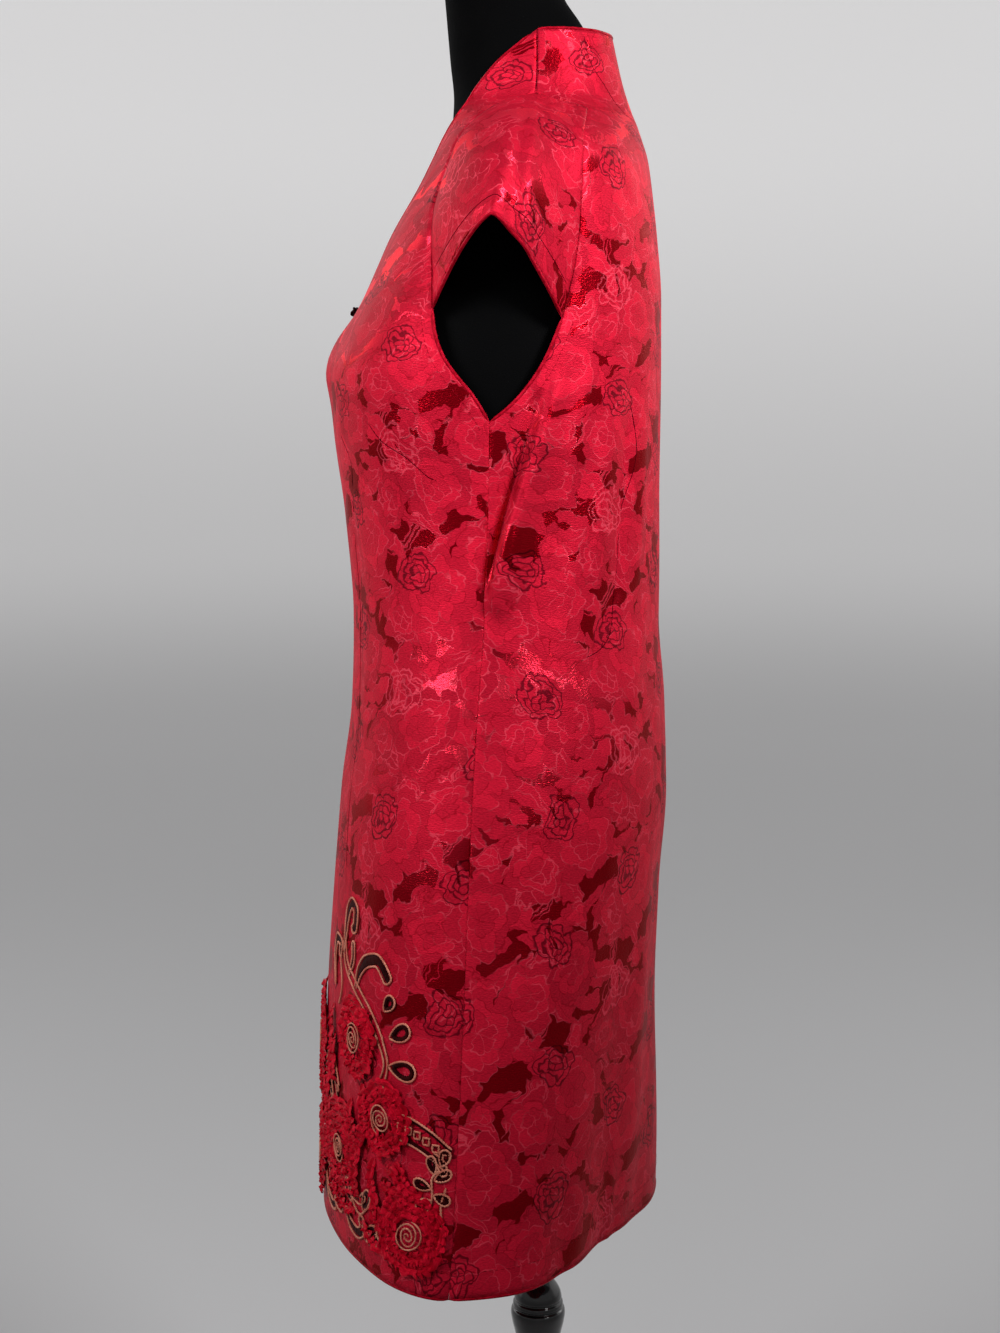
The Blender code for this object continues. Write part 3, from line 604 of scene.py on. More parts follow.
class Wires:
    """Short names for shader nodes; numbers and sockets mix freely."""

    def __init__(self, name):
        self.material = bpy.data.materials.new(name)
        self.material.use_nodes = True
        self.tree = self.material.node_tree
        self.shader = self.tree.nodes["Principled BSDF"]

    def node(self, kind, **settings):
        made = self.tree.nodes.new(kind)
        for key, value in settings.items():
            setattr(made, key, value)
        return made

    def feed(self, socket, value):
        if isinstance(value, bpy.types.NodeSocket):
            self.tree.links.new(value, socket)
        else:
            socket.default_value = value

    def give(self, name, value):
        self.feed(self.shader.inputs[name], value)

    def fed(self, kind, values, **settings):
        """The outputs of a new node whose first inputs get the values in order."""
        made = self.node(kind, **settings)
        for socket, value in zip(made.inputs, values):
            self.feed(socket, value)
        return made.outputs

    def math(self, operation, *values):
        return self.fed("ShaderNodeMath", values, operation=operation)[0]

    def step(self, value, low, high, out_low=0.0, out_high=1.0):
        values = (value, low, high, out_low, out_high)
        return self.fed("ShaderNodeMapRange", values, interpolation_type="SMOOTHSTEP")[0]

    def vector(self, operation, *values):
        outputs = self.fed("ShaderNodeVectorMath", values, operation=operation)
        return outputs["Value" if operation == "LENGTH" else 0]

    def xyz(self, x, y, z=0.0):
        return self.fed("ShaderNodeCombineXYZ", (x, y, z))[0]

    def split(self, value, kind="ShaderNodeSeparateXYZ"):
        return tuple(self.fed(kind, (value,)))

    def push(self, point, noise, reach):
        """Moves a pattern's point by a noise, at most half the reach each way."""
        centred = self.vector("SUBTRACT", noise.outputs["Color"], (0.5, 0.5, 0.5))
        return self.vector("ADD", point, self.vector("MULTIPLY", centred, reach))

    def cloth_uv(self):
        return self.node("ShaderNodeUVMap", uv_map="cloth_m").outputs[0]

    def object_place(self):
        return self.node("ShaderNodeTexCoord").outputs["Object"]

    def noise(self, vector, scale, detail=2.0, rough=0.5, flat=False):
        made = self.node("ShaderNodeTexNoise", noise_dimensions="2D" if flat else "3D")
        self.feed(made.inputs["Vector"], vector)
        made.inputs["Scale"].default_value = scale
        made.inputs["Detail"].default_value = detail
        made.inputs["Roughness"].default_value = rough
        return made

    def voronoi(self, vector, scale):
        made = self.node("ShaderNodeTexVoronoi", voronoi_dimensions="2D")
        self.feed(made.inputs["Vector"], vector)
        made.inputs["Scale"].default_value = scale
        return made

    def mix(self, share, a, b):
        made = self.node("ShaderNodeMix", data_type="RGBA")
        self.feed(made.inputs[0], share)
        self.feed(made.inputs[6], a)
        self.feed(made.inputs[7], b)
        return made.outputs[2]

    def bump(self, height, distance, strength=1.0, normal=None):
        made = self.node("ShaderNodeBump")
        made.inputs["Strength"].default_value = strength
        made.inputs["Distance"].default_value = distance
        self.feed(made.inputs["Height"], height)
        if normal is not None:
            self.feed(made.inputs["Normal"], normal)
        return made.outputs[0]


def srgb(r, g, b):
    def channel(c):
        c = c / 255
        return c / 12.92 if c <= 0.04045 else ((c + 0.055) / 1.055) ** 2.4
    return (channel(r), channel(g), channel(b), 1.0)


CELL_W = 0.076
CELL_H = 0.089


def cells(w, point, share, shift, seed):
    """Half-drop cells: the place in a cell, and three numbers that repeat every second cell."""
    width = CELL_W * share
    height = CELL_H * share
    x, y, _ = w.split(w.vector("ADD", point, (shift[0] + 10 * CELL_W, shift[1] + 10 * CELL_H, 0)))
    column = w.math("FLOOR", w.math("DIVIDE", x, width))
    pair = w.math("FLOOR", w.math("MULTIPLY", column, 0.5))
    odd = w.math("MULTIPLY_ADD", pair, -2.0, column)
    drop = w.math("MULTIPLY_ADD", odd, height / 2, y)
    row = w.math("FLOOR", w.math("DIVIDE", drop, height))
    turn = w.math("FLOORED_MODULO", w.math("ADD", row, pair), 2.0)
    pick = w.node("ShaderNodeTexWhiteNoise", noise_dimensions="3D")
    w.feed(pick.inputs["Vector"], w.xyz(w.math("ADD", odd, seed), w.math("ADD", turn, seed), seed))
    numbers = w.split(pick.outputs["Color"], "ShaderNodeSeparateColor")
    return (w.math("MULTIPLY_ADD", column, -width, w.math("ADD", x, -width / 2)),
            w.math("MULTIPLY_ADD", row, -height, w.math("ADD", drop, -height / 2)), *numbers)


# Rows of petals from the outside in: share of the radius, petals fewer by, depth, twist.
PETAL_ROWS = ((1.0, 0.0, 0.20, 0.0), (0.72, 0.5, 0.24, 0.9), (0.44, 1.0, 0.30, 2.0))


def flower(w, place, radius, swing, jitter, count, line=0.0007, rows=3):
    """Scalloped petals: a mask, the lines round and between the petals, and a tone."""
    x, y, one, two, three = place
    x = w.math("ADD", x, w.math("MULTIPLY_ADD", one, jitter, -jitter / 2))
    y = w.math("ADD", y, w.math("MULTIPLY_ADD", two, jitter, -jitter / 2))
    size = w.math("MULTIPLY_ADD", three, swing, radius)
    r = w.math("DIVIDE", w.vector("LENGTH", w.xyz(x, y)), size)
    angle = w.math("ARCTAN2", y, x)
    petals = w.math("MULTIPLY_ADD", w.math("ROUND", w.math("MULTIPLY", one, 2.0)), 0.5, count / 2)
    outside = None
    tone = w.math("MULTIPLY", three, 0.6)
    for share, drop, depth, twist in PETAL_ROWS[:rows]:
        half = w.math("SUBTRACT", petals, drop) if drop else petals
        phase = w.math("MULTIPLY_ADD", two, 6.28, twist)
        lobe = w.math("ABSOLUTE", w.math("COSINE", w.math("MULTIPLY_ADD", angle, half, phase)))
        edge = w.math("MULTIPLY_ADD", w.math("POWER", lobe, 0.5), share * depth,
                      share * (1 - depth))
        inside = w.math("MULTIPLY", w.math("SUBTRACT", edge, r), size)
        rim = w.step(w.math("ABSOLUTE", inside), line, line * 0.3)
        spoke = w.step(w.math("MULTIPLY", w.math("MULTIPLY", lobe, r), size), line * 1.3,
                       line * 0.4)
        mask = w.step(inside, 0.0, 0.0003)
        drawn = w.math("MAXIMUM", rim, w.math("MULTIPLY", spoke, mask))
        if outside is None:
            outside = mask
            lines = drawn
        else:
            below = w.math("MULTIPLY", lines, w.math("SUBTRACT", 1.0, mask))
            lines = w.math("MAXIMUM", drawn, below)
            tone = w.math("MULTIPLY_ADD", mask, 0.7 if drop < 1 else -0.5, tone)
    return outside, lines, tone


def leaf(w, place, length, half, bend, lean):
    """A bent leaf with a rib."""
    x, y, one, two, three = place
    turned = w.node("ShaderNodeVectorRotate", rotation_type="Z_AXIS")
    w.feed(turned.inputs["Vector"], w.xyz(x, y))
    w.feed(turned.inputs["Angle"], w.math("MULTIPLY_ADD", two, 6.28, lean))
    along, across, _ = w.split(turned.outputs[0])
    square = w.math("MULTIPLY", along, along)
    side = w.math("MULTIPLY_ADD", one, 2 * bend, -bend)
    across = w.math("ABSOLUTE", w.math("MULTIPLY_ADD", square, side, across))
    taper = w.math("MULTIPLY_ADD", square, -4 / length ** 2, 1.0)
    wide = w.math("MULTIPLY_ADD", three, half * 0.6, half * 0.7)
    inside = w.math("SUBTRACT", w.math("MULTIPLY", taper, wide), across)
    mask = w.step(inside, 0.0, 0.0004)
    rim = w.step(w.math("ABSOLUTE", inside), 0.0006, 0.0002)
    rib = w.step(across, 0.0006, 0.0002)
    return mask, w.math("MAXIMUM", rim, w.math("MULTIPLY", rib, mask))


def arcs(w, place, radius, gap):
    """Long parallel stems that bend round a corner of the cell."""
    x, y, one, two, three = place
    r = w.vector("LENGTH", w.xyz(w.math("ADD", x, w.math("MULTIPLY_ADD", one, 0.02, 0.018)), y))
    off = w.math("PINGPONG", w.math("SUBTRACT", r, radius), gap)
    band = w.step(w.math("ABSOLUTE", w.math("SUBTRACT", r, radius)), gap * 2.2, gap * 2.0)
    return (w.math("MULTIPLY", w.step(off, gap * 0.42, gap * 0.30), band),
            w.math("MULTIPLY", w.step(w.math("ABSOLUTE", w.math("SUBTRACT", off, gap * 0.42)),
                                      0.0005, 0.0002), band))


# Leaves: shift of their cells, seed, length, half width.
LEAVES = (((0.011, 0.004), 2.3, 0.046, 0.0060), ((0.031, 0.027), 7.1, 0.042, 0.0066))
# Blossoms, small ones first: share of a cell, shift, seed, radius, its swing, jitter, petals, and
# for the small ones the line and the rows of petals.
BLOSSOMS = (
    (0.5, (0.020, 0.012), 9.3, 0.0066, 0.0040, 0.010, 5.0, 0.0006, 2),
    (1.0, (0.041, 0.020), 3.7, 0.0180, 0.0080, 0.012, 6.0),
    (1.0, (0.0, 0.0), 1.9, 0.0260, 0.0090, 0.010, 7.0),
)
# Flowers in outline alone, most of them dark and some pale, in the same columns.
DRAWN_CELLS = (1.0, (0.022, 0.066), 4.4)
DRAWN_FLOWER = (0.0150, 0.0040, 0.014, 5.0, 0.0011)


def satin(name, ground, painted_shine, motif, outline, scrawl):
    """Tonal floral jacquard: matt motifs on a satin ground, with a painted shine that pales the
    ground where it faces up and painted shade that darkens the motifs there.
    """
    w = Wires(name)
    uv = w.cloth_uv()
    drift = w.noise(uv, 42.0, 1.0, flat=True)
    small = w.noise(uv, 210.0, 0.0, flat=True)
    point = w.push(uv, drift, (0.017, 0.015, 0.0))
    point = w.push(point, small, (0.0036, 0.0030, 0.0))

    mask, line = arcs(w, cells(w, point, 1.0, (0.020, 0.031), 5.0), 0.026, 0.0021)
    petals = w.voronoi(w.vector("MULTIPLY", point, (1.0, 1.35, 1.0)), 78.0)
    crowd = w.noise(petals.outputs["Position"], 26.0, 0.0, flat=True)
    edge = w.math("SUBTRACT", 0.60, petals.outputs["Distance"])
    crowded = w.step(crowd.outputs[0], 0.530, 0.535)
    many = w.math("MULTIPLY", w.step(edge, 0.0, 0.03), crowded)
    veins = w.math("MULTIPLY", w.step(w.math("ABSOLUTE", edge), 0.045, 0.015), crowded)
    tone = w.math("MULTIPLY", mask, 0.4)

    def over(top_mask, top_line, level):
        nonlocal mask, line, tone
        below = w.math("SUBTRACT", 1.0, top_mask)
        line = w.math("MAXIMUM", w.math("MULTIPLY", line, below), top_line)
        tone = w.math("MULTIPLY_ADD", top_mask, level, w.math("MULTIPLY", tone, below))
        mask = w.math("MAXIMUM", mask, top_mask)

    over(many, veins, w.split(petals.outputs["Color"], "ShaderNodeSeparateColor")[0])
    for shift, seed, length, half in LEAVES:
        place = cells(w, point, 0.5, shift, seed)
        over(*leaf(w, place, length, half, 9.0, seed), place[3])
    for share, shift, seed, *sizes in BLOSSOMS:
        over(*flower(w, cells(w, point, share, shift, seed), *sizes))

    place = cells(w, point, *DRAWN_CELLS)
    loops = flower(w, place, *DRAWN_FLOWER)[1]
    pale = w.math("MULTIPLY", loops, w.step(place[4], 0.72, 0.73))
    dark = w.math("MULTIPLY", loops, w.step(place[4], 0.73, 0.72))

    fine = w.noise(w.vector("MULTIPLY", uv, (1.0, 2.6, 1.0)), 420.0, 1.0, 0.65, flat=True)
    upward = w.split(w.node("ShaderNodeNewGeometry").outputs["Normal"])[2]
    worn = w.math("MULTIPLY_ADD", w.step(fine.outputs[0], 0.3, 0.7), 0.20,
                  w.math("MULTIPLY_ADD", tone, 0.30, 0.72))
    # Painted highlight: the ground takes the pale shine colour where the cloth faces up.
    ground_with_painted_shine = w.mix(w.step(upward, 0.06, 0.30), ground, painted_shine)
    # Painted shade: the motif tone in worn darkens where the cloth faces up.
    worn = w.math("MULTIPLY", worn, w.step(upward, 0.06, 0.40, 1.0, 0.70))
    motif_with_painted_shade = w.vector("MULTIPLY", motif[:3], w.xyz(worn, worn, worn))
    colour = w.mix(mask, ground_with_painted_shine, motif_with_painted_shade)
    drawn = w.mix(w.step(drift.outputs[0], 0.42, 0.58), outline, ground)
    colour = w.mix(w.math("MULTIPLY", line, 0.52), colour, drawn)
    colour = w.mix(w.math("MULTIPLY", pale, 0.60), colour, outline)
    colour = w.mix(w.math("MULTIPLY", dark, 0.74), colour, scrawl)
    w.give("Base Color", colour)
    w.give("Roughness", w.step(mask, 0.0, 1.0, 0.33, 0.52))
    w.give("Metallic", w.step(mask, 0.0, 1.0, 0.62, 0.22))
    soft = w.noise(uv, 30.0, 1.0, flat=True)
    normal = w.bump(soft.outputs[0], 0.0030, 0.6)
    w.give("Normal", w.bump(fine.outputs[0], 0.00040, 0.8, normal))
    w.give("Specular IOR Level", 0.14)
    w.give("Specular Tint", (1.0, 0.10, 0.16, 1))
    return w.material


def thread(name, colour, second, rough=0.5, scale=900.0):
    """Silk or cotton thread with a twisted fleck."""
    w = Wires(name)
    uv = w.cloth_uv()
    slant = w.noise(w.vector("MULTIPLY", uv, (1.0, 4.0, 1.0)), scale, 2.0)
    broad = w.noise(uv, 60.0, 2.0)
    share = w.math("MULTIPLY", slant.outputs[0], w.step(broad.outputs[0], 0.2, 0.8, 0.5, 1.1))
    w.give("Base Color", w.mix(w.step(share, 0.2, 0.6), second, colour))
    w.give("Roughness", rough)
    w.give("Specular IOR Level", 0.16)
    w.give("Specular Tint", (*colour[:3], 1))
    w.give("Normal", w.bump(slant.outputs[0], 0.0003, 0.6))
    return w.material


def jersey():
    """Matt black jersey on a padded form."""
    w = Wires("black_jersey")
    place = w.object_place()
    knit = w.noise(w.vector("MULTIPLY", place, (1.0, 1.0, 2.2)), 900.0, 2.0)
    cloud = w.noise(place, 14.0, 3.0)
    w.give("Base Color",
           w.mix(cloud.outputs[0], (0.0006, 0.0006, 0.0007, 1), (0.0014, 0.0014, 0.0016, 1)))
    w.give("Roughness", w.step(cloud.outputs[0], 0.3, 0.7, 0.78, 0.92))
    w.give("Specular IOR Level", 0.04)
    w.give("Normal", w.bump(knit.outputs[0], 0.0004, 0.5))
    return w.material


def lacquer():
    """Gloss black paint over turned wood, with faint wear."""
    w = Wires("gloss_lacquer")
    place = w.object_place()
    grain = w.noise(w.vector("MULTIPLY", place, (1.0, 1.0, 0.15)), 120.0, 4.0)
    dust = w.noise(place, 40.0, 4.0)
    w.give("Base Color", w.mix(grain.outputs[0], (0.004, 0.004, 0.004, 1), (0.010, 0.009, 0.009, 1)))
    w.give("Roughness", w.step(dust.outputs[0], 0.35, 0.75, 0.10, 0.24))
    w.give("Coat Weight", 0.6)
    w.give("Coat Roughness", 0.06)
    w.give("Normal", w.bump(grain.outputs[0], 0.0004, 0.25))
    return w.material


GROUND = srgb(130, 2, 15)
# Pale colour of the painted highlight on the up-facing satin ground.
PAINTED_SHINE = srgb(228, 44, 68)
MOTIF = srgb(190, 22, 47)
OUTLINE = srgb(228, 72, 92)
SCRAWL = srgb(50, 0, 8)
SATIN = satin("jacquard_satin", GROUND, PAINTED_SHINE, MOTIF, OUTLINE, SCRAWL)
PIPING = thread("satin_edge", srgb(178, 16, 40), srgb(128, 2, 18), 0.42, 300.0)
RIBBON = thread("ribbon_satin", srgb(214, 18, 46), srgb(156, 2, 22), 0.42, 240.0)
PEACH = thread("peach_thread", srgb(226, 152, 128), srgb(178, 88, 72), 0.5)
BROWN = thread("brown_thread", srgb(58, 14, 14), srgb(28, 4, 5), 0.45)
CORD = thread("dark_cord", srgb(40, 6, 10), srgb(18, 2, 4), 0.45)
STITCH = thread("seam_thread", srgb(182, 20, 44), srgb(136, 6, 22), 0.5)
# Dark colour of the painted shade in the dart and seam grooves.
SEAM_SHADE = thread("seam_shadow", srgb(84, 0, 10), srgb(60, 0, 6), 0.8)


def finish_piece(piece, material):
    piece.data.materials.append(material)
    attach(piece, "root")
    return piece


# Dress

front, front_grids = make_front()
back_left, *back_left_grid = make_back("back_left_cloth", 1)
back_right, *back_right_grid = make_back("back_right_cloth", -1)
cap_left, *cap_left_grid = make_cap("cap_left_cloth", 1)
cap_right, *cap_right_grid = make_cap("cap_right_cloth", -1)
back_grids = (back_left_grid, back_right_grid)
cap_grids = (cap_left_grid, cap_right_grid)
for piece in (front, back_left, back_right, cap_left, cap_right):
    finish_piece(piece, SATIN)


# Radii of the rolled edges, and the step of their sections.
ARM_ROLL = 0.0014
NECK_ROLL = 0.0013
HEM_ROLL = 0.0011
ROLL_STEP = 0.0035


def edge_roll(strands, points, normal, radius):
    """A turned edge: a slim roll on the rim of a wall."""
    path, n = even_path(points - normal * CLOTH * 0.5, normal, ROLL_STEP)
    strands.tube(path, n, radius, radius, sides=8)


rolls = Strands()
arm_rows = slice(SKIRT_COUNT - 1, SKIRT_COUNT + ARM_COUNT - 1)
notch_row = SKIRT_COUNT + ARM_COUNT - 2
for points, normal in front_grids:
    edge_roll(rolls, points[arm_rows, -1], normal[arm_rows, -1], ARM_ROLL)
    edge_roll(rolls, points[notch_row:, 0], normal[notch_row:, 0], NECK_ROLL)
for points, normal in back_grids:
    edge_roll(rolls, points[arm_rows, -1], normal[arm_rows, -1], ARM_ROLL)
    edge_roll(rolls, points[-1], normal[-1], NECK_ROLL)
for points, normal in cap_grids:
    edge_roll(rolls, points[0], normal[0], NECK_ROLL)
edges = finish_piece(rolls.build("rolled_edges"), PIPING)

hem = Strands()
for points, normal in (*front_grids, *back_grids):
    edge_roll(hem, points[0], normal[0], HEM_ROLL)
hem_roll = finish_piece(hem.build("hem_edge"), PIPING)


def on_cloth(angle, z, lift):
    points, n = cloth_points(angle, z)
    return points + n * lift, n


def thread_line(strands, path, lift, step, half_width, half_height, **twist):
    """A cord on the cloth along (angle, height) places."""
    points, n = even_path(*on_cloth(path[:, 0], path[:, 1], lift), step)
    strands.tube(points, n, half_width, half_height, **twist)


def metre_step(angle, z):
    """Metres along the cloth for each degree."""
    a = surface(CLOTH_CURVES, np.array(angle + 0.5), np.array(z))
    b = surface(CLOTH_CURVES, np.array(angle - 0.5), np.array(z))
    return float(np.linalg.norm(a - b))


stitches = Strands()


def stitch_line(angles, heights, pitch=0.0042, length=0.0026, width=0.00032):
    a = np.linspace(0, 1, 400)
    index = np.linspace(0, 1, len(angles))
    aa = np.interp(a, index, angles)
    zz = np.interp(a, index, heights)
    path, n = even_path(*on_cloth(aa, zz, 0.0003), pitch)
    along = unit(np.gradient(path, axis=0))
    for k, mid in enumerate(path):
        ends = np.stack([mid - along[k] * length / 2, mid, mid + along[k] * length / 2])
        stitches.tube(ends, np.repeat(n[k:k + 1], 3, axis=0), width, width * 0.7, sides=5)


HEM_STITCH_Z = HEM_Z + 0.0185
for ends in ((-89.0, 89.0), (91.0, 179.0), (-91.0, -179.0)):
    stitch_line(ends, (HEM_STITCH_Z, HEM_STITCH_Z))
for sign in (1, -1):
    for edge, inward in ((FRONT_ARMHOLE, -3.2), (BACK_ARMHOLE, 3.2)):
        stitch_line([a * sign + inward * sign for a, z in edge], [z - 0.004 for a, z in edge])
seam_stitches = finish_piece(stitches.build("seam_stitches"), STITCH)

# Darts, each a row of (angle, height) places, drawn as thin dark cords of painted shade along their
# grooves. The shoulder seam is drawn like them.
DARTS = (
    ((46.5, 1.188), (52, 1.174), (61.3, 1.161), (69.5, 1.146), (71.8, 1.144)),
    ((27, 1.18), (32.8, 1.156), (28.5, 1.12), (27.5, 1.083), (30.2, 0.9255), (34, 0.8505)),
    ((137, 1.214), (141, 1.169), (135.5, 1.12), (133.5, 1.068), (130.5, 1.029),
     (125, 1.0165), (121.5, 1.0135)),
    ((126, 1.4995), (128.2, 1.4795), (137.2, 1.462), (144, 1.4485), (153, 1.4345)),
)
DART_LINE = 0.00036
CAP_HEM_ROW = 4
dart_shade = Strands()
for row in DARTS + (SHOULDER_SEAM,):
    for sign in (1, -1):
        thread_line(dart_shade, spread(row, 120) * (sign, 1), 0.00002, 0.003, DART_LINE, DART_LINE / 2)
# The pressed line above each cap's hem gets the same painted shade.
for points, normal in cap_grids:
    n = normal[CAP_HEM_ROW, 1:-1]
    dart_shade.tube(points[CAP_HEM_ROW, 1:-1] + n * 0.0001, n, 0.00028, 0.00016)
dart_shade_lines = finish_piece(dart_shade.build("dart_shade_lines"), SEAM_SHADE)

allowance = Strands()
for side, z_top in ((90.0, 1.180), (-90.0, 1.180), (180.0, 1.430)):
    zz = np.linspace(HEM_Z + 0.004, z_top, 150)[:, None]
    steps = np.array([-0.012, -0.006, -0.002, 0.002, 0.006, 0.012])
    aa = side + steps[None, :] / metre_step(side, 1.0) + 0 * zz
    zz = zz + 0 * aa
    p, n = cloth_points(aa, zz)
    allowance.grid(p - n * (CLOTH + 0.0012), np.stack([aa * 0.003, zz], axis=-1))
seam_allowance = finish_piece(allowance.build("seam_allowance"), PIPING)

# Ribbon flowers and frills

# Sizes of the gathered ribbon and its folds, and the step of a thread's sections.
FRILL_STEP = 0.0010
FRILL_WIDTH = 0.0105
FRILL_HEIGHT = 0.0054
GATHER = 0.0066
THREAD_STEP = 0.0009
frills = Strands()
peach = Strands()
brown = Strands()


def frill(angle, z, width, phase, fade=False):
    """A ribbon gathered along its middle: both edges stand up in small uneven folds."""
    base, n = even_path(*on_cloth(angle, z, 0.0), FRILL_STEP)
    tangent = unit(np.gradient(base, axis=0))
    side = np.cross(tangent, n)
    length = np.arange(len(base)) * FRILL_STEP
    s = np.array([-1.0, -0.62, -0.22, 0.22, 0.62, 1.0])
    edge = np.abs(s)[None, :] ** 0.8

    def wave(step, shift):
        return np.sin(2 * math.pi * length[:, None] / step + shift + phase
                      + 1.3 * np.sin(2 * math.pi * length[:, None] / 0.021 + phase))

    flip = np.where(s > 0, 0.0, 1.9)[None, :]
    beat = 0.8 * wave(GATHER, flip) + 0.4 * wave(0.0043, 2.0 * flip + 1.0)
    sway = 0.9 * wave(GATHER, flip + 1.6) + 0.4 * wave(0.0047, flip)
    arch = np.array([0.62, 0.92, 0.30, 0.30, 0.92, 0.62])[None, :]
    rise = FRILL_HEIGHT * arch * (0.80 + 0.30 * beat * edge) + 0.0004
    across = s[None, :] * width / 2 * (0.86 + 0.34 * sway * edge)
    if fade:
        tips = np.clip(np.minimum(length, length[::-1]) / 0.009, 0.12, 1)[:, None]
        rise = rise * tips
        across = across * np.sqrt(tips)
    slip = 0.0015 * wave(GATHER, flip + 0.8) * edge
    points = (base[:, None] + side[:, None] * across[..., None]
              + n[:, None] * np.maximum(rise, 0.0005)[..., None]
              + tangent[:, None] * slip[..., None])
    uv = np.stack([length[:, None] + 0 * across, across], axis=-1)
    frills.grid(points, uv)


# Frill rings of a flower: share of its radius, width. Flowers near the left side seam, from the
# named angle on, have no outer ring.
RINGS = ((0.96, FRILL_WIDTH), (0.71, 0.0110), (0.49, 0.0100))
SMALL_FROM = 46
for angle0, z0, radius, turn in FLOWERS:
    scale = metre_step(angle0, z0)
    for k, (share, width) in enumerate(RINGS[1 if angle0 > SMALL_FROM else 0:]):
        th = np.linspace(0, 2 * math.pi, 200) + turn + k
        r = radius * share * (1 + 0.06 * np.sin(4 * th + turn) + 0.03 * np.sin(7 * th))
        frill(angle0 + r * np.cos(th) / scale, z0 + r * np.sin(th), width, turn + 1.3 * k)
    th = np.linspace(0.9, 2 * math.pi * 3.4, 130)
    r = radius * 0.34 * th / th[-1] * (1 + 0.07 * np.sin(2.3 * th + turn))
    path, n = on_cloth(angle0 + r * np.cos(th + turn) / scale, z0 + r * np.sin(th + turn), 0.0046)
    peach.tube(path, n, 0.00062, 0.0006, beat=0.22)

# Frill rows between the flowers: start angle and height, end angle and height, sway.
FRILL_ROWS = (
    (28, 0.745, 26, 0.635, 0.006), (20, 0.725, 24, 0.615, -0.005),
    (50, 0.705, 50, 0.615, 0.006), (57, 0.655, 60, 0.6, -0.004),
    (62, 0.65, 78, 0.642, 0.003), (60, 0.637, 86, 0.633, 0.003),
    (50, 0.6, 64, 0.595, 0.003), (26, 0.605, 48, 0.61, 0.003),
    (0, 0.74, -2, 0.675, 0.006), (-24, 0.7, -28, 0.61, 0.006),
    (2, 0.655, 4, 0.6, -0.004), (-60, 0.69, -58, 0.61, 0.005),
    (-62, 0.66, -84, 0.656, 0.003), (-26, 0.75, -24, 0.7, 0.004),
    (-6, 0.605, -40, 0.602, 0.004), (30, 0.725, 33, 0.685, 0.003),
    (26, 0.675, 30, 0.62, 0.004), (44, 0.688, 47, 0.656, -0.003),
    (34, 0.606, 38, 0.6, 0.002), (66, 0.656, 72, 0.648, 0.002),
    (56, 0.626, 60, 0.606, 0.003), (84, 0.628, 86, 0.598, 0.002),
)
for a0, z0, a1, z1, sway in FRILL_ROWS:
    t = np.linspace(0, 1, 110)
    bend = np.sin(2 * math.pi * t) * sway
    upright = abs(z1 - z0) > 0.03
    across_a = bend / metre_step(a0, z0) if upright else 0
    across_z = 0 if upright else bend
    frill(a0 + (a1 - a0) * t + across_a, z0 + (z1 - z0) * t + across_z, FRILL_WIDTH, a0, True)

ribbon_work = finish_piece(frills.build("ribbon_frills"), RIBBON)


def stem(path, brown_width=0.0):
    """A drawn line of thread through (angle, height) places."""
    thread_line(peach, path, 0.0012, THREAD_STEP, 0.0008, 0.0007, beat=0.25)
    if brown_width:
        thread_line(brown, path, 0.0006, THREAD_STEP, brown_width, 0.0011, beat=0.10,
                    beat_length=0.0018)


def teardrop(angle0, z0, length, width, lean):
    """A looped leaf: a peach outline round a dark satin-stitched ring."""
    scale = metre_step(angle0, z0)
    t = np.linspace(0, 2 * math.pi, 90)
    along = length * 0.5 * (1 - np.cos(t))
    across = width * 0.5 * np.sin(t) * np.sin(t / 2) ** 0.8
    for share, strands, half, high, lift in ((1.0, peach, 0.0008, 0.0007, 0.0014),
                                             (0.72, brown, 0.0019, 0.0012, 0.0008)):
        x = (along - length * 0.5) * share + length * 0.5
        y = across * share
        dx = x * math.cos(lean) - y * math.sin(lean)
        dz = x * math.sin(lean) + y * math.cos(lean)
        path = np.stack([angle0 + dx / scale, z0 + dz], axis=-1)
        thread_line(strands, path, lift, THREAD_STEP, half, high, beat=0.2)


def band(points, width, foot=0.25):
    """A scroll worked in dark satin stitch between two cords: it swells and ends round."""
    path = spread(points, 150)
    scale = metre_step(path[75, 0], path[75, 1])
    run = np.gradient(path * (scale, 1.0), axis=0)
    run = run / np.linalg.norm(run, axis=-1, keepdims=True)
    t = np.linspace(0, 1, 150)
    half = width / 2 * (foot + (1 - foot) * np.clip(t / 0.35, 0, 1) ** 0.8)
    half = half * np.sqrt(np.clip(1 - np.clip((t - 0.90) / 0.10, 0, 1) ** 2, 0.0, 1))
    square = np.stack([-run[:, 1] / scale, run[:, 0]], axis=-1)
    left = path + square * half[:, None]
    right = path - square * half[:, None]
    stem(np.concatenate([left, right[::-1]]))
    s = np.linspace(-1, 1, 7)[None, :]
    inner = np.maximum(half - 0.0007, 0.0003)[:, None]
    angle = path[:, None, 0] + square[:, None, 0] * inner * s
    z = path[:, None, 1] + square[:, None, 1] * inner * s
    dome = 0.0013 * np.sqrt(np.clip(1 - s ** 2, 0, 1)) + 0 * inner - 0.0001
    base, n = cloth_points(angle, z)
    ridge = 0.00012 * np.sin(2 * math.pi * np.arange(150) / 2.2)[:, None]
    p = base + n * (dome + ridge * (1 - s ** 2))[..., None]
    uv = np.stack([t[:, None] * 0.05 + 0 * s, inner * s], axis=-1)
    brown.grid(p, uv)


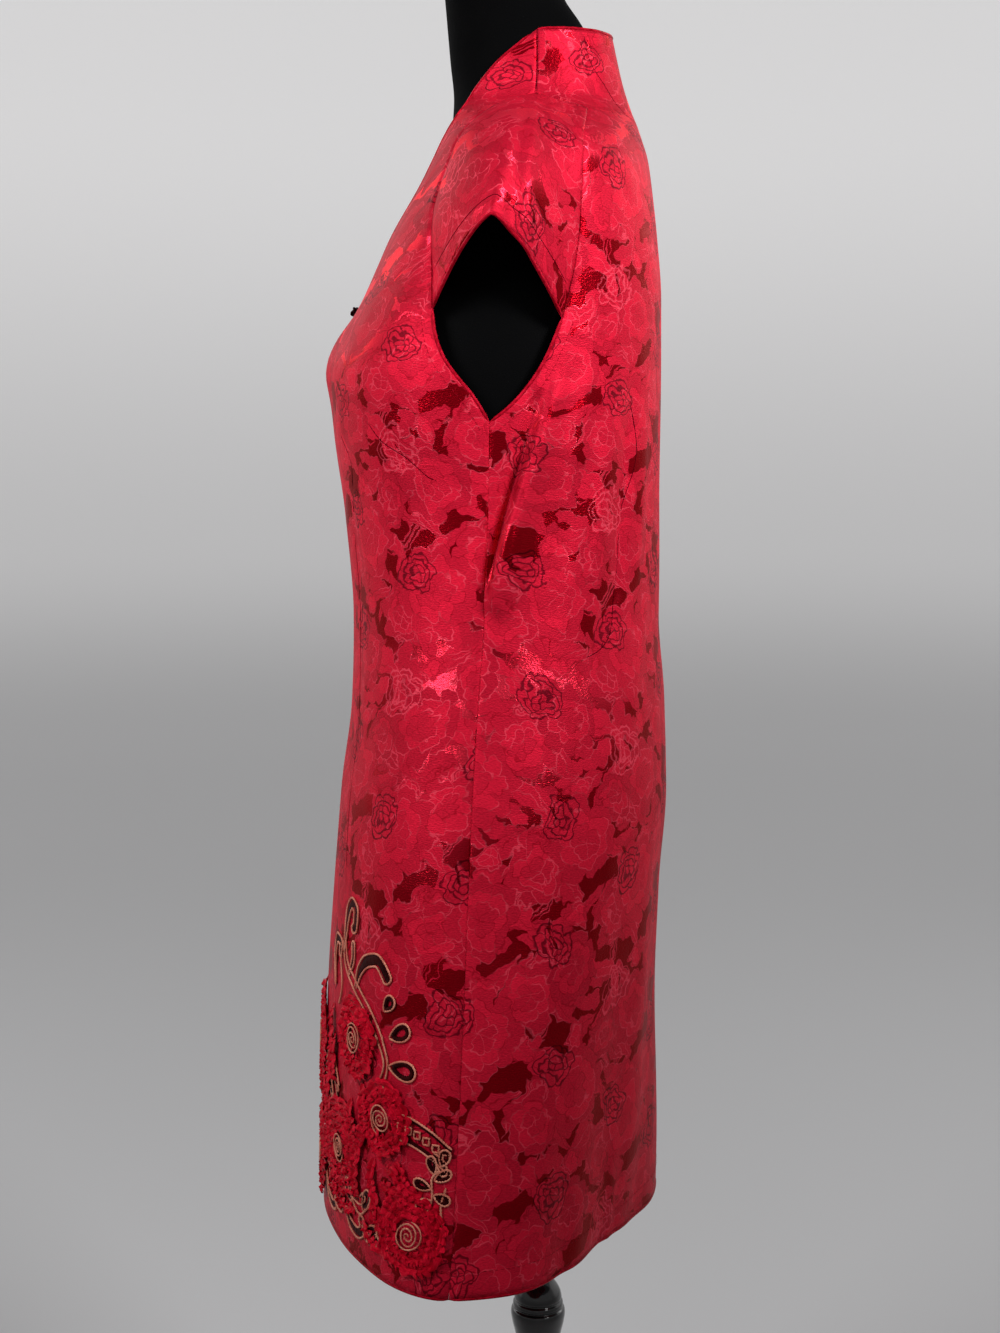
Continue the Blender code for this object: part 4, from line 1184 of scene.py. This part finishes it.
# Scroll stems: each a row of (angle, height) places. The dark ones also carry a brown cord.
STEMS = (
    ((36.5, 0.79), (38.5, 0.78), (45, 0.768), (52, 0.756), (57.5, 0.74),
     (60.5, 0.724), (58.5, 0.71)),
    ((37.5, 0.8), (39.5, 0.786), (46.5, 0.774), (54, 0.76), (59.5, 0.742),
     (62, 0.724), (60.5, 0.706)),
    ((36, 0.798), (34.5, 0.782), (36, 0.764), (34, 0.748)),
    ((80, 0.63), (81.5, 0.64), (81, 0.652), (84, 0.66)),
    ((86.5, 0.648), (85, 0.634), (86, 0.618), (84.5, 0.604)),
    ((30, 0.69), (27, 0.67), (29, 0.65), (25, 0.626), (28, 0.602)),
    ((44, 0.618), (50, 0.608), (56, 0.618), (60, 0.608)),
    ((-8, 0.79), (-14, 0.77), (-16, 0.745), (-9, 0.72), (-8, 0.69)),
    ((-45, 0.79), (-42, 0.77), (-50, 0.755), (-58, 0.735), (-60, 0.71)),
    ((-80, 0.69), (-78, 0.67), (-82, 0.65), (-80, 0.625)),
)
DARK_STEMS = (5, 7, 8)
for k, row in enumerate(STEMS):
    stem(spread(row, 160), 0.0014 if k in DARK_STEMS else 0.0)

# Scrolls, each a row of (angle, height) places from its foot to its round end, and its width.
BANDS = (
    (((36.5, 0.79), (37.5, 0.806), (38.5, 0.82), (41, 0.829), (43.8, 0.824),
      (43.6, 0.813), (41.6, 0.81)), 0.0075),
    (((46, 0.77), (47.5, 0.782), (51.5, 0.793), (56, 0.796), (60, 0.788),
      (61.5, 0.782)), 0.009),
    (((41, 0.776), (43.5, 0.79), (43, 0.802)), 0.005),
    (((30, 0.76), (28.5, 0.78), (30.5, 0.796), (34, 0.794), (33.5, 0.784)), 0.0065),
    (((-10, 0.77), (-9, 0.795), (-13, 0.812), (-18, 0.808), (-17, 0.798)), 0.008),
    (((-40, 0.775), (-41, 0.8), (-46, 0.816), (-51, 0.81), (-49.5, 0.8)), 0.008),
    (((-52, 0.76), (-55, 0.778), (-60, 0.786), (-65, 0.78), (-66, 0.772)), 0.0085),
    (((31, 0.606), (33.5, 0.599), (37, 0.5985), (39, 0.605), (37, 0.611)), 0.0065),
    (((52, 0.606), (54, 0.596), (58, 0.5945), (60, 0.601)), 0.0065),
    (((-80, 0.598), (-84, 0.602), (-86, 0.611), (-83, 0.617)), 0.0065),
    (((81, 0.67), (84, 0.664), (86, 0.656)), 0.006),
    (((24, 0.706), (22.5, 0.688), (25, 0.672), (28.5, 0.674)), 0.006),
    (((42, 0.608), (44, 0.597), (48.5, 0.593), (52, 0.599), (50.5, 0.607)), 0.0075),
    (((43, 0.626), (46, 0.619), (50, 0.618), (53, 0.624)), 0.006),
    (((21, 0.608), (24, 0.597), (29, 0.592), (33, 0.595)), 0.0065),
)
for row in BANDS:
    band(*row)

# Looped leaves: foot angle and height, length, width, lean.
LOOPS = (
    (60, 0.762, 0.014, 0.012, 0.9), (62.5, 0.744, 0.021, 0.015, 0.45),
    (62.5, 0.724, 0.026, 0.017, -0.05), (82, 0.656, 0.013, 0.009, 1.9),
    (81, 0.646, 0.014, 0.009, 2.9), (81.5, 0.638, 0.013, 0.009, 3.6),
    (82, 0.652, 0.014, 0.009, 0.5), (82, 0.642, 0.013, 0.009, -0.3),
    (84.5, 0.662, 0.012, 0.01, 1.3), (30, 0.675, 0.02, 0.013, 2.5),
    (29, 0.648, 0.022, 0.014, 3.5), (28, 0.628, 0.022, 0.014, 0.2),
    (-10, 0.76, 0.024, 0.016, 0.3), (-12, 0.735, 0.022, 0.015, 2.8),
    (-60, 0.74, 0.022, 0.015, 2.6), (-62, 0.718, 0.024, 0.016, 3.3),
    (-80, 0.675, 0.018, 0.012, 2.4), (-80, 0.65, 0.018, 0.012, 0.6),
    (45.5, 0.612, 0.018, 0.012, 2.2), (52, 0.612, 0.019, 0.012, 1.1),
    (54, 0.6, 0.016, 0.011, 0.2), (36, 0.614, 0.016, 0.011, -2.2),
)
for row in LOOPS:
    teardrop(*row)


def ladder(points, gap, rungs):
    """Two dark rails with small squares of thread between them."""
    path = spread(points, 200)
    for offset in (-0.5, 0.5):
        row = path + (0.0, offset * gap)
        stem(row + (0.0, 0.0016 * (1 if offset > 0 else -1)))
        thread_line(brown, row, 0.0006, THREAD_STEP, 0.0013, 0.0011, beat=0.1,
                    beat_length=0.0018)
    for k in range(rungs):
        centre = path[int((k + 0.5) / rungs * 199)]
        scale = metre_step(centre[0], centre[1])
        half = gap * 0.16
        corner = np.array([(centre[0] + x * half / scale, centre[1] + y * half)
                           for x, y in ((-1, -1), (1, -1), (1, 1), (-1, 1), (-1, -0.9))])
        stem(np.concatenate([np.linspace(corner[i], corner[i + 1], 16) for i in range(4)]))


ladder(((66.5, 0.6850), (73.0, 0.6820), (80.0, 0.6760), (88.0, 0.6650)), 0.0150, 6)
ladder(((30.0, 0.7020), (33.0, 0.6900), (35.0, 0.6800)), 0.0120, 2)
ladder(((-88.0, 0.7000), (-80.0, 0.7070), (-70.0, 0.7080)), 0.0140, 6)

peach_work = finish_piece(peach.build("peach_embroidery"), PEACH)
brown_work = finish_piece(brown.build("brown_embroidery"), BROWN)

# Knot button and loop

# How far the knot and the loop stand out from the cloth, and the radii of their cords.
KNOT_OUT = 0.0046
KNOT_CORD = 0.0011
KNOT_CORE = 0.0021
LOOP_OUT = 0.0018
LOOP_RADIUS = 0.0058
LOOP_CORD = 0.0010
knot = Strands()
centre, knot_normal = cloth_points(np.array([0.0]), np.array([NOTCH_Z - 0.0075]))
centre = centre[0]
knot_normal = knot_normal[0]
right = np.array([1.0, 0.0, 0.0])
upward = np.cross(knot_normal, right)
upward = upward * (1 if upward[2] > 0 else -1)
t = np.linspace(0, 2 * math.pi, 241)[:-1]
bulge = 0.0026 + 0.0009 * np.cos(3 * t)
knot_path = (centre + knot_normal * KNOT_OUT
             + np.outer(bulge * np.cos(2 * t), right) + np.outer(bulge * np.sin(2 * t), upward)
             + np.outer(0.0016 * np.sin(3 * t), knot_normal))
facing = np.repeat(knot_normal[None], len(t), axis=0)
knot.tube(knot_path, facing + 1e-4, KNOT_CORD, KNOT_CORD, sides=8, closed=True, beat=0.08)
core = centre + knot_normal * KNOT_OUT + np.outer(np.linspace(-0.0022, 0.0022, 9), upward)
knot.tube(core, facing[:9], KNOT_CORE, KNOT_CORE, sides=12)
knot_ball = finish_piece(knot.build("knot_ball"), CORD)

loop = Strands()
loop_path = (centre + knot_normal * LOOP_OUT + np.outer(LOOP_RADIUS * np.cos(t), right)
             + np.outer(LOOP_RADIUS * np.sin(t), upward))
loop.tube(loop_path, facing, LOOP_CORD, LOOP_CORD, sides=8, closed=True, beat=0.10)
cord_loop = finish_piece(loop.build("cord_loop"), CORD)

# Dress form, pole and stand

FORM_LEVELS = 150
FORM_AROUND = 96
level = np.linspace(FORM_SECTIONS[0][0], FORM_SECTIONS[-1][0], FORM_LEVELS)
around = np.linspace(0, 360, FORM_AROUND + 1)[:-1]
ring_a, ring_z = np.meshgrid(around, level)
body = surface(FORM_CURVES, ring_a, ring_z)
crown = body[-1].mean(axis=0)
top_rings = [crown + (body[-1] - crown) * s + (0, 0, h)
             for s, h in ((0.94, 0.0022), (0.84, 0.0040), (0.72, 0.0053), (0.4, 0.0055))]
foot = body[0].mean(axis=0)
bottom_rings = [foot + (body[0] - foot) * s for s in (0.5, 0.96)]
body = np.concatenate([np.array(bottom_rings), body, np.array(top_rings)])
index = ring_index(len(body), FORM_AROUND)
faces = grid_faces(index).tolist() + [list(index[0, :-1])[::-1], list(index[-1, :-1])]
form = finish_piece(new_mesh("padded_form", body.reshape(-1, 3), faces), jersey())

LACQUER = lacquer()
COLUMN_PROFILE = (
    (0, 0.492), (0.0092, 0.492), (0.0106, 0.49), (0.013, 0.486), (0.0165, 0.4812),
    (0.0188, 0.4765), (0.0196, 0.4725), (0.019, 0.4708), (0.0204, 0.469), (0.0208, 0.4668),
    (0.02, 0.4652), (0.0218, 0.4635), (0.0224, 0.46), (0.0216, 0.454), (0.0196, 0.446),
    (0.0172, 0.436), (0.015, 0.424), (0.0136, 0.41), (0.0132, 0.396), (0.0146, 0.392),
    (0.0146, 0.386), (0.0128, 0.382), (0.0134, 0.34), (0.015, 0.24), (0.0166, 0.15),
    (0.0176, 0.102), (0.02, 0.096), (0.0206, 0.088), (0.0196, 0.082), (0.0214, 0.07),
    (0.026, 0.056), (0.033, 0.045), (0.038, 0.0403), (0, 0.0403),
)
BASE_PROFILE = (
    (0, 0.04), (0.046, 0.04), (0.062, 0.0385), (0.09, 0.033), (0.118, 0.027),
    (0.134, 0.0245), (0.14, 0.025), (0.146, 0.024), (0.154, 0.0205), (0.1585, 0.016),
    (0.16, 0.011), (0.159, 0.004), (0.156, 0), (0, 0),
)
POLE_PROFILE = ((0, 0.7347), (0.0085, 0.7347), (0.009, 0.7342), (0.009, 0.4928),
                (0.0085, 0.4923), (0, 0.4923))


def turned(name, profile, fine):
    """Turned piece: the profile is rounded between its points and spun about the pole axis."""
    profile = np.array(profile)
    inner = profile[1:-1]
    dense = spread(inner, (len(inner) - 1) * fine + 1)
    ring = spun(dense, FORM_AROUND)
    index = ring_index(len(dense), FORM_AROUND)
    faces = grid_faces(index, True).tolist() + [list(index[0, :-1]), list(index[-1, :-1])[::-1]]
    made = new_mesh(name, ring.reshape(-1, 3), faces)
    edge = made.modifiers.new("corner", "EDGE_SPLIT")
    edge.split_angle = math.radians(50)
    return finish_piece(made, LACQUER)


column = turned("lacquered_column", COLUMN_PROFILE, 4)
base = turned("lacquered_base", BASE_PROFILE, 4)
pole = turned("lacquered_pole", POLE_PROFILE, 1)

for piece, node in ((front, "front_panel"), (back_left, "back_panel_left"),
                    (back_right, "back_panel_right"), (cap_left, "cap_sleeve_left"),
                    (cap_right, "cap_sleeve_right"), (knot_ball, "knot_button"),
                    (cord_loop, "button_loop"), (form, "form_torso"),
                    (column, "turned_column"), (base, "round_base"), (pole, "form_pole")):
    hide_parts(node)

# Camera, at the photograph's height and distance

CAMERA_X = 1.41
CAMERA_Y = -0.0314
CAMERA_Z = 1.13
SENSOR = 36.0
FOCAL_PX = 1706.0
FRAME_H = 1333.0
HORIZON_PX = 500.0
camera_data = bpy.data.cameras.new("camera")
camera_data.sensor_width = SENSOR
camera_data.lens = FOCAL_PX / FRAME_H * SENSOR
camera_data.shift_y = (HORIZON_PX - FRAME_H / 2) / FRAME_H
camera = bpy.data.objects.new("camera", camera_data)
bpy.context.scene.collection.objects.link(camera)
camera.location = (CAMERA_X, CAMERA_Y, CAMERA_Z)
camera.rotation_euler = (math.radians(90), 0, math.radians(90))
bpy.context.scene.camera = camera

# Pale floor that sweeps up far away and glows as painted light, and soft lights

BOWL_ROWS = 60
BOWL_AROUND = 64
bowl = ((0.0, 0.0), (2.0, 0.0), (4.5, 0.0), (6.0, 0.12), (7.2, 0.6), (8.2, 1.6), (8.8, 3.2),
        (9.0, 5.0), (9.0, 6.5))
bowl = spun(spread(bowl, BOWL_ROWS), BOWL_AROUND)
floor = new_mesh("floor", bowl.reshape(-1, 3), grid_faces(ring_index(BOWL_ROWS, BOWL_AROUND)))
pale = Wires("pale_glowing_floor")
pale.give("Base Color", (0.50, 0.50, 0.51, 1))
pale.give("Roughness", 0.9)
ahead, _, high = pale.split(pale.object_place())
# Painted light: the floor glows more with height and towards the back, away from the camera.
glow = pale.math("ADD", pale.step(high, 0.0, 0.9, 0.17, 0.34), pale.step(high, 0.4, 3.4, 0.0, 0.20))
pale.give("Emission Color", (1.0, 0.99, 0.99, 1))
pale.give("Emission Strength", pale.math("MULTIPLY", pale.step(ahead, 0.5, -1.0, 0.30, 1.0), glow))
floor.data.materials.append(pale.material)


def area_light(name, place, target, size, power, spread_deg=180):
    data = bpy.data.lights.new(name, "AREA")
    data.shape = "RECTANGLE"
    data.size, data.size_y = size
    data.energy = power
    data.spread = math.radians(spread_deg)
    made = bpy.data.objects.new(name, data)
    bpy.context.scene.collection.objects.link(made)
    made.visible_camera = False
    made.location = place
    aim = Vector(target) - Vector(place)
    made.rotation_euler = aim.to_track_quat("-Z", "Y").to_euler()


area_light("key", (0.90, 0.90, 1.98), (0.05, 0.03, 1.30), (0.35, 0.35), 2.45, 50)
area_light("fill", (1.00, -1.25, 2.05), (0.0, -0.08, 1.22), (0.7, 0.7), 4.0, 62)
area_light("rim", (-1.8, 1.9, 2.5), (0.0, 0.0, 1.2), (1.4, 1.4), 9.0)
area_light("far", (-1.8, -1.9, 2.5), (0.0, 0.0, 1.2), (1.4, 1.4), 9.0)

world = bpy.data.worlds.new("studio")
world.use_nodes = True
world.node_tree.nodes["Background"].inputs[0].default_value = (0.95, 0.97, 1.0, 1)
world.node_tree.nodes["Background"].inputs[1].default_value = 0.06
bpy.context.scene.world = world
bpy.context.scene.view_settings.view_transform = "Standard"
